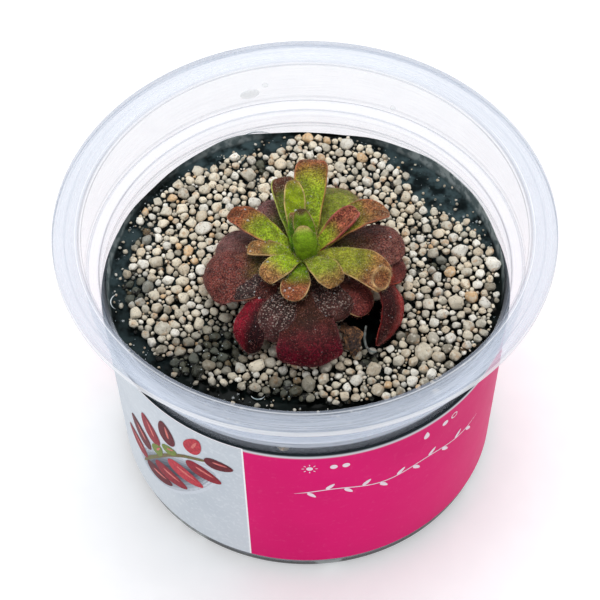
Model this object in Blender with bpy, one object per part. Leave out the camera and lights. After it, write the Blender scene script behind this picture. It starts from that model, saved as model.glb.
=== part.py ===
"""A butterwort rosette growing from black gel and pumice grains in a clear culture cup.

Everything stands on z = 0 with the cup's axis on Z; the front of the cup faces -Y.
Sizes are worked out in millimetres and written to the meshes in metres.
"""

import math
import random
from typing import NamedTuple

import bmesh
import bpy
import numpy as np
from mathutils import Vector
from mathutils.geometry import delaunay_2d_cdt

MM = 0.001
SLIVER = 0.001
TURN = 2.0 * math.pi

# Cup
RIM_RADIUS = 50.0
CUP_HEIGHT = 66.0
LIP_DEPTH = 1.7
FLANGE_FLAT = (47.4, 49.3)
STACK_WALL = (43.5, 44.2)
LEDGE_HEIGHT = 54.0
BODY_TOP_RADIUS = 41.3
BODY_TOP_HEIGHT = 50.6
BASE_RADIUS = 38.6
BASE_EDGE_HEIGHT = 1.6
WALL = 0.75
FLOOR_TOP = 1.9
FOOT_RING = (34.4, 37.2)
CUP_SEGMENTS = 60

# Printed label
LABEL_BOTTOM = 4.2
LABEL_TOP = 45.8
LABEL_THICKNESS = 0.5
LABEL_SEAM = 1.2
LABEL_SEGMENTS = 60

# Stem, standing in plain holes in the bed and the gel
CROWN_AXIS = (-0.3, -1.2)
STEM_RADIUS = 2.0
STEM_FOOT = 44.6
STEM_SEGMENTS = 16
GAP = 0.3

# Gel
GEL_TOP = 47.5
MENISCUS_RISE = 0.9
MENISCUS_WIDTH = 2.6
GEL_SEGMENTS = 48

# Pumice bed
BED_FLOOR = GEL_TOP + GAP
BED_VALLEY = 48.5
BED_SEED = 11
# Grains keep this distance; each is a cell that rises from its valleys to a brow and a crest
GRAIN_SPACING = 3.6
GRAIN_TRIES = 9000
GRAIN_RISE = (1.5, 2.3)
GRAIN_RISE_UNDER_LEAVES = 0.15
GRAIN_BROW_SPREAD = (0.74, 0.84)
GRAIN_BROW_HEIGHT = (0.6, 0.8)
# Reach of the bed at azimuths counted from +X towards +Y; bare gel shows past it
BED_SHORE = {
    0: 39.2, 15: 36.5, 28: 31.5, 38: 27.5, 48: 29.5, 60: 33.0, 70: 38.0, 88: 38.6,
    103: 34.0, 118: 35.5, 135: 38.4, 152: 38.4, 180: 36.8, 210: 36.0, 226: 33.5,
    245: 31.5, 270: 32.0, 288: 34.0, 305: 37.0, 325: 39.2, 343: 39.4,
}

# Rosette; a crown is (radius, lowest, highest)
CROWN_SEGMENTS = 14
SKIRT_CROWN = (3.0, 53.6, 55.8)
HEART_CROWN = (2.6, 56.1, 58.6)
BLADE_STATIONS = 9
BLADE_COLUMNS = 4
RIM_SHARE = 0.68


class Leaf(NamedTuple):
    """One blade, in millimetres and degrees, measured from the crown's axis.

    rise and fall are (distance, height) pairs that steer the spine as it leaves its
    foot and as it comes to its tip; bow pushes it sideways, towards larger azimuths.
    """

    name: str
    azimuth: float
    reach: float
    tip: float
    width: float
    rise: tuple
    fall: tuple
    foot: tuple
    start: float
    bow: float = 0.0
    cup: float = 0.0
    roll: float = 0.0
    base: float = 0.3
    shoulder: float = 0.68
    blunt: float = 2.4
    thick: float = 1.0


SKIRT = [
    Leaf("front_apron", -87.5, 22.2, 50.4, 13.5, (9, 55.6), (23.7, 60.4), (0, -1.2), 55,
         cup=-28, base=0.28, shoulder=0.86, blunt=2.8),
    Leaf("front_left_apron", -120, 21.5, 50.2, 7.4, (9, 55.4), (21.7, 58.6), (-0.6, -1), 54.8,
         bow=-2.6, cup=-30, shoulder=0.7),
    Leaf("right_strap", -51.5, 22.6, 51.2, 8.2, (7, 56.2), (20.5, 54.9), (1, -0.5), 55, bow=15,
         cup=-20, roll=-42, base=0.4, shoulder=0.6),
    Leaf("left_broad", -176.5, 19.8, 52.7, 19.0, (9, 57), (19, 58.7), (-1, 0), 55, cup=-44,
         roll=12, shoulder=0.66, blunt=2.5),
    Leaf("left_under", 162, 18.3, 52.8, 9.0, (9, 56), (17, 57.5), (-1, 0.3), 54.7, cup=-25),
    Leaf("back_left_under", 141, 16.5, 52, 9.0, (9, 55.5), (15, 57), (-0.8, 0.8), 54.5, cup=-25),
    Leaf("back_left", 115, 17, 55.5, 7.6, (9, 56.5), (15, 58.5), (-0.5, 1), 54.9, cup=-15),
    Leaf("back_under", 93, 17, 52, 9.0, (9, 55.5), (15, 57), (0, 1), 54.6, cup=-20),
    Leaf("back_right", 65, 20.4, 55.5, 10.0, (9, 57), (17, 59.5), (0.5, 1), 55, cup=-15,
         base=0.35, shoulder=0.7),
    Leaf("back_right_under", 38, 17, 52, 9.0, (9, 55.5), (16, 57), (0.8, 0.8), 54.6, cup=-20),
    Leaf("right_broad", 12, 20.6, 55.5, 11.0, (9, 56.5), (18.5, 59), (1, 0.4), 55, cup=-22),
    Leaf("right_under", -4, 20.4, 53.6, 10.0, (9, 55.2), (19, 56.5), (1, 0), 54.6, cup=-20),
    Leaf("right_rimmed", -13, 18.4, 54.6, 9.0, (9, 55.4), (17, 57.6), (1, -0.3), 55, cup=-20),
    Leaf("front_right_low", -44, 17.3, 54, 7.6, (8, 55.6), (16, 58), (0.8, -0.8), 54.8,
         cup=-15, base=0.35),
    Leaf("front_right", -62, 15.8, 54.8, 8.0, (8, 55.6), (15, 59.2), (0.5, -1), 55.2, cup=-20,
         base=0.35),
    Leaf("front_bumpy", -110.5, 18.6, 52.6, 7.8, (8, 55.4), (19.2, 60.6), (-0.4, -1), 55,
         cup=-22, shoulder=0.74, blunt=2.8),
    Leaf("left_front", -153, 17.0, 55, 8.0, (8, 56), (15.5, 58), (-0.9, -0.5), 55.2, cup=-20,
         base=0.35),
    Leaf("left_front_short", -138, 13.6, 54.8, 7.0, (6, 56), (12.5, 58), (-0.7, -0.7), 55.2,
         cup=-20, base=0.35, shoulder=0.65),
]

HEART = [
    Leaf("upright", 84.5, 21.2, 62, 6.8, (8, 58.5), (16.5, 65), (1.4, 1), 57.5, cup=12,
         base=0.36, shoulder=0.82, blunt=2.3),
    Leaf("upright_dark", 103.5, 18.5, 60.3, 5.6, (8, 58), (14, 62), (-1.2, 1), 57.5,
         cup=10, base=0.4, shoulder=0.8),
    Leaf("oblong", 98.5, 14.6, 63.7, 4.3, (5, 59.5), (10.5, 64.5), (-1.4, 1.2), 58,
         cup=8, base=0.45, shoulder=0.62),
    Leaf("sliver", 110, 7, 63, 2.2, (2.5, 60.5), (5, 62.5), (-1.6, 0.6), 57.5,
         base=0.7, shoulder=0.5),
    Leaf("front_bud", -90, -1.9, 64.3, 5.0, (1.2, 60), (1.4, 65.8), (0.9, -1.2), 56.9,
         cup=40, base=0.85, shoulder=0.6, thick=1.3),
    Leaf("back_bud", 95, 6.2, 64.6, 4.4, (2.2, 61), (4, 65), (1.5, 0.8), 57.3,
         cup=-25, base=0.8, shoulder=0.5, thick=1.2),
    Leaf("channelled", 32, 13, 62.8, 5.6, (5, 58.5), (10.5, 62.8), (1.8, 0.8), 57.5,
         cup=55, base=0.45, shoulder=0.66),
    Leaf("pointed", 22, 18.6, 60.8, 8.4, (6, 57.8), (14, 63), (1.8, 1), 57.4, bow=4, cup=12,
         roll=-14, base=0.4, shoulder=0.66, blunt=1.9),
    Leaf("recurved", -28, 17.6, 57, 8.0, (7, 60), (17, 62.6), (1.5, 0.5), 57.5, bow=1.7,
         cup=-10, base=0.4, shoulder=0.7, blunt=2.8),
    Leaf("front_right_short", -54, 10.5, 58.5, 6.0, (4, 60), (9.6, 62.5), (0.4, -1), 57.8,
         cup=-8, base=0.4, shoulder=0.66),
    Leaf("front_short", -101, 12.2, 58.3, 5.8, (4, 57.8), (10.5, 61.2), (-0.3, -1.2), 57.5,
         cup=-6, base=0.4, shoulder=0.66),
    Leaf("front_left_short", -137, 10.2, 58.6, 5.7, (4, 60), (9.5, 62.2), (-0.7, -1), 57.8,
         cup=-8, base=0.4, shoulder=0.64, blunt=2.6),
    Leaf("left_short", 175, 11.2, 58.2, 4.4, (4, 58.8), (9, 60), (-1.2, -0.2), 57.5,
         cup=15, base=0.4),
    Leaf("left_long", 147.5, 17.4, 59.6, 5.8, (6, 59), (14, 62.6), (-1.4, 0.6), 57.5, cup=-8,
         base=0.4, shoulder=0.62, blunt=2.6),
]

# The withered leaf's spine, from its loose end under the skirt to its tip on the bed
WITHERED_SPINE = [(7.4, -13.8, 51.8), (8.2, -15.8, 53.3), (9.2, -18.4, 52.8), (9.4, -20.9, 50.3)]
WITHERED = Leaf("withered", -70, 0, 0, 3.4, (0, 0), (0, 0), (0, 0), 0,
                cup=25, base=0.5, shoulder=0.5, blunt=2.0, thick=0.75)


# Scene and mesh helpers

def clear_scene():
    for obj in list(bpy.data.objects):
        bpy.data.objects.remove(obj, do_unlink=True)


def material(name, colour, roughness, metallic=0.0):
    mat = bpy.data.materials.new(name)
    mat.use_nodes = True
    shader = mat.node_tree.nodes["Principled BSDF"]
    shader.inputs["Base Color"].default_value = (*colour, 1.0)
    shader.inputs["Roughness"].default_value = roughness
    shader.inputs["Metallic"].default_value = metallic
    mat.diffuse_color = (*colour, 1.0)
    return mat


def object_from(name, points, faces, mat=None, smooth_angle=None):
    mesh = bpy.data.meshes.new(name)
    mesh.from_pydata([tuple(float(c) * MM for c in p) for p in points], [], faces)
    mesh.validate()
    if mat:
        mesh.materials.append(mat)
    face_outward(mesh)
    if smooth_angle:
        mesh.shade_smooth()
        mesh.set_sharp_from_angle(angle=math.radians(smooth_angle))
    obj = bpy.data.objects.new(name, mesh)
    bpy.context.scene.collection.objects.link(obj)
    return obj


def face_outward(mesh):
    work = bmesh.new()
    work.from_mesh(mesh)
    bmesh.ops.recalc_face_normals(work, faces=work.faces)
    work.to_mesh(mesh)
    work.free()


def turned(profile, segments):
    """Points and faces of a profile turned once round Z.

    profile runs from the axis round the section and back to the axis.
    """
    points = [(0.0, 0.0, profile[0][1])]
    rings = profile[1:-1]
    for radius, height in rings:
        for k in range(segments):
            angle = TURN * k / segments
            points.append((radius * math.cos(angle), radius * math.sin(angle), height))
    points.append((0.0, 0.0, profile[-1][1]))
    last = len(points) - 1
    faces = []
    for k in range(segments):
        after = (k + 1) % segments
        faces.append((0, 1 + after, 1 + k))
        for ring in range(len(rings) - 1):
            low = 1 + ring * segments
            high = low + segments
            faces.append((low + k, low + after, high + after, high + k))
        top = 1 + (len(rings) - 1) * segments
        faces.append((top + k, top + after, last))
    return points, faces


def ring_solid(section, segments, start=0.0, sweep=TURN):
    """A closed section carried round Z, either full circle or with two flat ends."""
    full = abs(sweep - TURN) < 1e-9
    stations = segments if full else segments + 1
    count = len(section)
    points = []
    for k in range(stations):
        angle = start + sweep * k / segments
        for radius, height in section:
            points.append((radius * math.cos(angle), radius * math.sin(angle), height))
    faces = []
    for k in range(segments):
        after = (k + 1) % stations
        for j in range(count):
            beside = (j + 1) % count
            faces.append((k * count + j, k * count + beside,
                          after * count + beside, after * count + j))
    if not full:
        faces.append(tuple(range(count)))
        faces.append(tuple((stations - 1) * count + j for j in reversed(range(count))))
    return points, faces


def smoothstep(x):
    x = np.clip(x, 0.0, 1.0)
    return x * x * (3.0 - 2.0 * x)


def union_into(name, pieces, mat, smooth_angle, solver="EXACT"):
    """Join overlapping closed pieces in one body, kept in the first piece's place."""
    host = pieces[0]
    guests = bpy.data.collections.new(name + "_pieces")
    for piece in pieces[1:]:
        bpy.context.scene.collection.objects.unlink(piece)
        guests.objects.link(piece)
    bpy.context.scene.collection.children.link(guests)
    join = host.modifiers.new("join", "BOOLEAN")
    join.operation = "UNION"
    join.operand_type = "COLLECTION"
    join.collection = guests
    join.solver = solver
    if solver == "EXACT":
        join.use_self = False
    graph = bpy.context.evaluated_depsgraph_get()
    joined = bpy.data.meshes.new_from_object(host.evaluated_get(graph))
    host.modifiers.clear()
    for piece in list(guests.objects):
        bpy.data.objects.remove(piece, do_unlink=True)
    bpy.data.collections.remove(guests)
    bpy.data.objects.remove(host, do_unlink=True)
    tidy_mesh(joined)
    joined.materials.clear()
    joined.materials.append(mat)
    joined.shade_smooth()
    joined.set_sharp_from_angle(angle=math.radians(smooth_angle))
    joined.name = name
    obj = bpy.data.objects.new(name, joined)
    bpy.context.scene.collection.objects.link(obj)
    return obj


def tidy_mesh(mesh):
    """Merge the slivers that a union leaves and split every face in triangles."""
    work = bmesh.new()
    work.from_mesh(mesh)
    bmesh.ops.remove_doubles(work, verts=work.verts, dist=SLIVER * MM)
    drop_small_shells(work)
    bmesh.ops.triangulate(work, faces=work.faces)
    work.to_mesh(mesh)
    work.free()


def drop_small_shells(work):
    """Keep the largest shell: this fills sealed hollows and removes loose scraps."""
    unseen = set(work.verts)
    shells = []
    while unseen:
        shell = {unseen.pop()}
        edge_of_shell = list(shell)
        while edge_of_shell:
            vert = edge_of_shell.pop()
            for edge in vert.link_edges:
                other = edge.other_vert(vert)
                if other not in shell:
                    shell.add(other)
                    edge_of_shell.append(other)
        unseen -= shell
        shells.append(shell)
    largest = max(shells, key=len)
    spare = [vert for shell in shells if shell is not largest for vert in shell]
    bmesh.ops.delete(work, geom=spare, context="VERTS")


# Cup, label and gel

def body_radius(height):
    """Outer radius of the tapered cup body at a height."""
    share = (height - BASE_EDGE_HEIGHT) / (BODY_TOP_HEIGHT - BASE_EDGE_HEIGHT)
    return BASE_RADIUS + share * (BODY_TOP_RADIUS - BASE_RADIUS)


def cup_profile():
    outside = [
        (0.0, 1.0),
        (FOOT_RING[0] - 0.8, 1.0),
        (FOOT_RING[0], 0.0),
        (FOOT_RING[1], 0.0),
        (BASE_RADIUS - 0.4, 0.5),
        (BASE_RADIUS, BASE_EDGE_HEIGHT),
        (BODY_TOP_RADIUS, BODY_TOP_HEIGHT),
        (BODY_TOP_RADIUS + 0.6, LEDGE_HEIGHT - 0.9),
        (STACK_WALL[0] + 0.4, LEDGE_HEIGHT - 0.7),
        (STACK_WALL[0] + 0.8, LEDGE_HEIGHT - 0.2),
        (STACK_WALL[1] + 0.8, CUP_HEIGHT - LIP_DEPTH),
        (RIM_RADIUS - 0.6, CUP_HEIGHT - LIP_DEPTH),
        (RIM_RADIUS, CUP_HEIGHT - 0.5 * LIP_DEPTH),
    ]
    inside = [
        (FLANGE_FLAT[1], CUP_HEIGHT),
        (FLANGE_FLAT[0], CUP_HEIGHT),
        (STACK_WALL[1] + 0.6, CUP_HEIGHT - 1.1),
        (STACK_WALL[1], CUP_HEIGHT - LIP_DEPTH),
        (STACK_WALL[0], LEDGE_HEIGHT),
        (BODY_TOP_RADIUS - WALL + 0.5, LEDGE_HEIGHT - 0.1),
        (BODY_TOP_RADIUS - WALL, LEDGE_HEIGHT - 0.9),
        (BASE_RADIUS - WALL, FLOOR_TOP + 1.2),
        (BASE_RADIUS - WALL - 1.2, FLOOR_TOP),
        (0.0, FLOOR_TOP),
    ]
    return outside + inside


def make_cup():
    mat = material("clear_plastic", (0.84, 0.86, 0.92), 0.18)
    points, faces = turned(cup_profile(), CUP_SEGMENTS)
    return object_from("cup", points, faces, mat, smooth_angle=35)


def make_label():
    mat = material("label_print", (0.66, 0.01, 0.16), 0.35)
    low = body_radius(LABEL_BOTTOM) + GAP
    high = body_radius(LABEL_TOP) + GAP
    section = [
        (low, LABEL_BOTTOM),
        (low + LABEL_THICKNESS, LABEL_BOTTOM),
        (high + LABEL_THICKNESS, LABEL_TOP),
        (high, LABEL_TOP),
    ]
    seam = LABEL_SEAM / BASE_RADIUS
    start = math.radians(90.0) + 0.5 * seam
    points, faces = ring_solid(section, LABEL_SEGMENTS, start, TURN - seam)
    return object_from("label", points, faces, mat, smooth_angle=35)


def inner_radius(height):
    """Inner radius of the cup body at a height."""
    foot = FLOOR_TOP + 1.2
    share = (height - foot) / (LEDGE_HEIGHT - 0.9 - foot)
    return BASE_RADIUS - WALL + share * (BODY_TOP_RADIUS - BASE_RADIUS)


def make_gel():
    mat = material("black_gel", (0.008, 0.011, 0.012), 0.08)
    wet = GEL_TOP + MENISCUS_RISE
    profile = [
        (0.0, FLOOR_TOP + GAP),
        (BASE_RADIUS - WALL - 1.2 - 0.5 * GAP, FLOOR_TOP + GAP),
        (inner_radius(FLOOR_TOP + 1.2) - GAP, FLOOR_TOP + 1.2 + 0.5 * GAP),
        (inner_radius(wet) - GAP, wet),
        (inner_radius(wet) - GAP - 0.3 * MENISCUS_WIDTH, GEL_TOP + 0.3 * MENISCUS_RISE),
        (inner_radius(wet) - GAP - MENISCUS_WIDTH, GEL_TOP),
        (0.3 * BODY_TOP_RADIUS, GEL_TOP),
        (0.0, GEL_TOP),
    ]
    points, faces = turned(profile, GEL_SEGMENTS)
    gel = object_from("growth_gel", points, faces, mat, smooth_angle=35)
    bore_for_stem(gel, STEM_FOOT - GAP, GEL_TOP + 2.0)
    return gel


def stem_rod(name, radius, low, high):
    section = [(0.0, low), (radius, low), (radius, high), (0.0, high)]
    points, faces = turned(section, STEM_SEGMENTS)
    points = [(x + CROWN_AXIS[0], y + CROWN_AXIS[1], z) for x, y, z in points]
    return object_from(name, points, faces)


def bore_for_stem(obj, low, high):
    """Cut the plain hole that the stem stands in."""
    cutter = stem_rod(obj.name + "_bore", STEM_RADIUS + GAP, low, high)
    cutter.hide_render = True
    cutter.display_type = "WIRE"
    cut = obj.modifiers.new("stem_hole", "BOOLEAN")
    cut.operation = "DIFFERENCE"
    cut.object = cutter


# Leaves

def spine_of(leaf):
    """Four steering points of a leaf's spine, in millimetres."""
    angle = math.radians(leaf.azimuth)
    out = np.array([math.cos(angle), math.sin(angle), 0.0])
    left = np.array([-math.sin(angle), math.cos(angle), 0.0])
    up = np.array([0.0, 0.0, 1.0])
    axis = np.array([*CROWN_AXIS, 0.0])
    foot = np.array([*leaf.foot, 0.0])
    return [
        axis + foot + leaf.start * up,
        axis + 0.5 * foot + leaf.rise[0] * out + 0.6 * leaf.bow * left + leaf.rise[1] * up,
        axis + leaf.fall[0] * out + leaf.bow * left + leaf.fall[1] * up,
        axis + leaf.reach * out + leaf.tip * up,
    ]


def walk_spine(steer, stations):
    """Points at shares of the length of the curve that four points steer."""
    s = np.linspace(0.0, 1.0, 121)[:, None]
    curve = ((1 - s) ** 3 * steer[0] + 3 * (1 - s) ** 2 * s * steer[1]
             + 3 * (1 - s) * s ** 2 * steer[2] + s ** 3 * steer[3])
    length = np.concatenate([[0.0], np.cumsum(np.linalg.norm(np.diff(curve, axis=0), axis=1))])
    length /= length[-1]
    place = np.stack([np.interp(stations, length, curve[:, k]) for k in range(3)], axis=1)
    slope = np.gradient(curve, axis=0)
    along = np.stack([np.interp(stations, length, slope[:, k]) for k in range(3)], axis=1)
    along /= np.linalg.norm(along, axis=1)[:, None]
    return place, along


def half_width(leaf, t):
    """Half the blade's width: widening to the shoulder, rounded to the tip."""
    widening = leaf.base + (1.0 - leaf.base) * smoothstep(t / leaf.shoulder)
    past = np.clip((t - leaf.shoulder) / (1.0 - leaf.shoulder), 0.0, 1.0)
    return 0.5 * leaf.width * widening * (1.0 - past ** leaf.blunt) ** (1.0 / leaf.blunt)


def blade_stations(count):
    """Shares of the length, crowded towards the tip where the outline rounds off."""
    u = np.linspace(0.0, 1.0, count)
    return 0.994 * (1.0 - (1.0 - u) ** 1.5)


def blade(leaf, steer, stations=BLADE_STATIONS, columns=BLADE_COLUMNS):
    """A closed leaf: two curved faces, thickest along the spine, joined round the rim."""
    t = blade_stations(stations)
    place, along = walk_spine(steer, t)
    angle = math.radians(leaf.azimuth)
    left = np.array([-math.sin(angle), math.cos(angle), 0.0])
    side = left - along * (along @ left)[:, None]
    side /= np.linalg.norm(side, axis=1)[:, None]
    face = np.cross(along, side)
    roll = np.radians(leaf.roll) * smoothstep(t / 0.6)[:, None]
    side, face = side * np.cos(roll) + face * np.sin(roll), face * np.cos(roll) - side * np.sin(roll)
    reach = half_width(leaf, t)[:, None]
    bend = math.radians(leaf.cup) if leaf.cup else 1e-4
    top, under = [], []
    for s in np.linspace(1.0, -1.0, columns + 1):
        across = reach * math.sin(bend * s) / bend
        lift = reach * (1.0 - math.cos(bend * s)) / bend
        middle = place + side * across + face * lift
        normal = face * math.cos(bend * s) - side * math.sin(bend * s)
        half = 0.5 * leaf.thick * (RIM_SHARE + (1.0 - RIM_SHARE) * (1.0 - s * s))
        top.append(middle + normal * half)
        under.append(middle - normal * half)
    rows = np.array(top + under[::-1])
    ring = len(rows)
    points = [rows[j][i] for i in range(stations) for j in range(ring)]
    faces = []
    for i in range(stations - 1):
        for j in range(ring):
            beside = (j + 1) % ring
            a, b = i * ring + j, i * ring + beside
            c, d = (i + 1) * ring + beside, (i + 1) * ring + j
            if j < columns:
                faces += [(a, b, c), (a, c, d)]
            else:
                faces += [(a, b, d), (b, c, d)]
    for end in (0, (stations - 1) * ring):
        for j in range(columns):
            a, b = end + j, end + j + 1
            c, d = end + ring - 2 - j, end + ring - 1 - j
            faces.append((a, b, c, d))
    return points, faces


def crown(name, radius, low, high):
    """A squat domed knob on the crown's axis, which the leaves' feet sink into."""
    depth = high - low
    section = [
        (0.0, low),
        (0.75 * radius, low),
        (radius, low + 0.35 * depth),
        (0.85 * radius, low + 0.8 * depth),
        (0.45 * radius, high),
        (0.0, high),
    ]
    points, faces = turned(section, CROWN_SEGMENTS)
    points = [(x + CROWN_AXIS[0], y + CROWN_AXIS[1], z) for x, y, z in points]
    return object_from(name, points, faces)


def make_skirt():
    mat = material("burgundy_leaf", (0.13, 0.035, 0.035), 0.55)
    radius, low, high = SKIRT_CROWN
    pieces = [crown("skirt_crown", radius, low, high)]
    pieces.append(stem_rod("stem", STEM_RADIUS, STEM_FOOT, low + 1.0))
    for leaf in SKIRT:
        pieces.append(object_from(leaf.name, *blade(leaf, spine_of(leaf))))
    return union_into("rosette_skirt", pieces, mat, 50)


def make_heart():
    mat = material("green_leaf", (0.16, 0.30, 0.03), 0.5)
    pieces = [crown("heart_crown", *HEART_CROWN)]
    for leaf in HEART:
        pieces.append(object_from(leaf.name, *blade(leaf, spine_of(leaf))))
    return union_into("rosette_heart", pieces, mat, 50)


def make_withered_leaf():
    mat = material("withered_leaf", (0.12, 0.06, 0.035), 0.75)
    steer = [np.array(point) for point in WITHERED_SPINE]
    points, faces = blade(WITHERED, steer, stations=9, columns=2)
    return object_from("withered_leaf", points, faces, mat, smooth_angle=50)


# Pumice bed

def shore(angle):
    """The bed's reach at an angle, eased between the listed azimuths."""
    marks = sorted(BED_SHORE)
    degrees = math.degrees(angle) % 360.0
    for mark, after in zip(marks, marks[1:] + [marks[0] + 360]):
        if mark <= degrees < after:
            share = float(smoothstep((degrees - mark) / (after - mark)))
            return BED_SHORE[mark] + share * (BED_SHORE[after % 360] - BED_SHORE[mark])
    return BED_SHORE[marks[0]]


def grain_centres():
    """Seeded, well spaced grain centres over the bed and a margin round it."""
    draw = random.Random(BED_SEED)
    centres = []
    for _ in range(GRAIN_TRIES):
        angle = draw.uniform(0.0, TURN)
        distance = (BODY_TOP_RADIUS + GRAIN_SPACING) * math.sqrt(draw.random())
        centre = Vector((distance * math.cos(angle), distance * math.sin(angle)))
        if all((centre - other).length > GRAIN_SPACING for other in centres):
            centres.append(centre)
    return centres


def circumcentre(a, b, c):
    """The point as far from a as from b and c."""
    b, c = b - a, c - a
    area = 2.0 * (b.x * c.y - b.y * c.x)
    x = (c.y * b.length_squared - b.y * c.length_squared) / area
    y = (b.x * c.length_squared - c.x * b.length_squared) / area
    return a + Vector((x, y))


def grain_cells(centres):
    """Valley points, and for each grain on the bed its centre and ring of valley points."""
    _, _, triangles, *_ = delaunay_2d_cdt(centres, [], [], 0, 0.0)
    limit = inner_radius(BED_VALLEY) - GAP - 0.8 * MENISCUS_WIDTH
    valleys = []
    touching = {k: [] for k in range(len(centres))}
    for index, (i, j, k) in enumerate(triangles):
        point = circumcentre(centres[i], centres[j], centres[k])
        if point.length > limit:
            point = point * (limit / point.length)
        valleys.append(point)
        for corner in (i, j, k):
            touching[corner].append(index)
    cells = []
    for k, centre in enumerate(centres):
        edge = min(limit, shore(math.atan2(centre.y, centre.x)))
        if centre.length > edge - 0.4 * GRAIN_SPACING:
            continue
        ring = sorted(touching[k], key=lambda n: math.atan2(*(valleys[n] - centre).yx))
        cells.append((centre, ring))
    return valleys, cells


def leaf_cloud():
    """Points over every low blade, which the grains stay below."""
    cloud = []
    for leaf in SKIRT:
        points, _ = blade(leaf, spine_of(leaf), stations=24, columns=8)
        cloud += points
    steer = [np.array(point) for point in WITHERED_SPINE]
    points, _ = blade(WITHERED, steer, stations=16, columns=4)
    return np.array(cloud + points)


def make_granules():
    """One body: a packed layer of domed grains, flat below, with a hole for the stem."""
    mat = material("pumice", (0.60, 0.53, 0.45), 0.7)
    draw = random.Random(BED_SEED + 1)
    blades = leaf_cloud()
    valleys, cells = grain_cells(grain_centres())
    points = [(v.x, v.y, BED_VALLEY) for v in valleys]
    faces = []
    border = set()
    for centre, ring in cells:
        rise = draw.uniform(*GRAIN_RISE)
        away = np.hypot(blades[:, 0] - centre.x, blades[:, 1] - centre.y)
        near = blades[away < 0.7 * GRAIN_SPACING]
        if len(near):
            room = near[:, 2].min() - BED_VALLEY - 1.5 * GAP
            rise = max(min(rise, room), GRAIN_RISE_UNDER_LEAVES)
        brow = len(points)
        share = draw.uniform(*GRAIN_BROW_SPREAD)
        for n in ring:
            x, y = centre + (valleys[n] - centre) * share
            points.append((x, y, BED_VALLEY + rise * draw.uniform(*GRAIN_BROW_HEIGHT)))
        crest = len(points)
        points.append((centre.x, centre.y, BED_VALLEY + rise))
        for j, n in enumerate(ring):
            after = (j + 1) % len(ring)
            faces += [(n, ring[after], brow + after), (n, brow + after, brow + j)]
            faces.append((brow + j, brow + after, crest))
            border.add((n, ring[after]))
    onward = {a: b for a, b in border if (b, a) not in border}
    walk = [min(onward)]
    while onward[walk[-1]] != walk[0]:
        walk.append(onward[walk[-1]])
    below = len(points)
    points += [(valleys[n].x, valleys[n].y, BED_FLOOR) for n in walk]
    for j, n in enumerate(walk):
        after = (j + 1) % len(walk)
        faces.append((n, below + j, below + after, walk[after]))
    faces.append(tuple(below + j for j in reversed(range(len(walk)))))
    points, faces = drop_unused(points, faces)
    bed = object_from("pumice_granules", points, faces, mat, smooth_angle=50)
    bore_for_stem(bed, BED_FLOOR - 1.0, BED_VALLEY + 4.0)
    return bed


def drop_unused(points, faces):
    """Leave out the points that no face uses."""
    used = sorted({n for face in faces for n in face})
    place = {n: k for k, n in enumerate(used)}
    return [points[n] for n in used], [tuple(place[n] for n in face) for face in faces]


def build():
    clear_scene()
    make_cup()
    make_label()
    make_gel()
    make_granules()
    make_skirt()
    make_heart()
    make_withered_leaf()


build()
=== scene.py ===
"""The looks of a butterwort rosette in a clear culture cup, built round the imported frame.

Sizes are worked out in millimetres, in the frame's axes, and written to the meshes in
metres: +Z up, the cup's axis on Z, the front of the label towards -Y.
"""

import math
from typing import NamedTuple

import bmesh
import bpy
import numpy as np
from mathutils import Matrix, Vector
from mathutils.kdtree import KDTree


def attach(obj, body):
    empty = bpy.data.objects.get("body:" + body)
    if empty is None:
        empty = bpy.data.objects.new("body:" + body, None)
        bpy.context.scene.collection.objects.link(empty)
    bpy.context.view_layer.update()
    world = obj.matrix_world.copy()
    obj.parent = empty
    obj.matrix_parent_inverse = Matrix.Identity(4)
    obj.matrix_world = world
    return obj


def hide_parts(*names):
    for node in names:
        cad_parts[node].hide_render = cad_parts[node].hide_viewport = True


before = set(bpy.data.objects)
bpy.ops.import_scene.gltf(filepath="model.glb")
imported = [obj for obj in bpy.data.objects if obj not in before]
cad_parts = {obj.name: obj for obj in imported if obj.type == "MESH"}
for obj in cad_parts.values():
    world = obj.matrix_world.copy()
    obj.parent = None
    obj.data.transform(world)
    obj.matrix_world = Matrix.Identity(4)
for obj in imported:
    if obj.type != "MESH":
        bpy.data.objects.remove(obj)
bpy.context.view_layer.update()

MM = 0.001
TURN = 2.0 * math.pi

# Camera, fitted to the photograph: it looks at the rim's centre from the front
IMAGE_WIDTH_PX = 600.0
FOCAL_PX = 2533.0
SENSOR_WIDTH = 36.0
CAMERA_ELEVATION = math.radians(50.5)
CAMERA_DISTANCE = 500.0
CAMERA_YAW = math.radians(0.13)
CAMERA_PITCH = math.radians(-1.717)
CAMERA_ROLL = math.radians(-0.803)

# Cup
RIM_RADIUS = 50.0
CUP_HEIGHT = 66.0
LIP_DEPTH = 1.7
STACK_WALL = (43.5, 44.2)
LEDGE_HEIGHT = 54.0
BODY_TOP_RADIUS = 41.3
BODY_TOP_HEIGHT = 50.6
BASE_RADIUS = 38.6
BASE_EDGE_HEIGHT = 1.6
WALL = 0.75
FLOOR_TOP = 1.9
FOOT_RING = (34.4, 37.2)
CUP_SEGMENTS = 220

# Printed label
LABEL_BOTTOM = 4.2
LABEL_TOP = 45.8
LABEL_THICKNESS = 0.5
LABEL_SEAM = 1.2
# The thickness that print stands proud of the film, and the pale panel's edges in degrees
INK = 0.04
PANEL = (-104.0, -18.0)

# Gel
GAP = 0.3
GEL_TOP = 47.5
GEL_SEGMENTS = 200

# Stem and crown
CROWN_AXIS = (-0.3, -1.2)
STEM_RADIUS = 2.0
STEM_FOOT = 44.6
SKIRT_CROWN = (3.0, 53.6, 55.8)
HEART_CROWN = (2.6, 56.1, 58.6)

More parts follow.
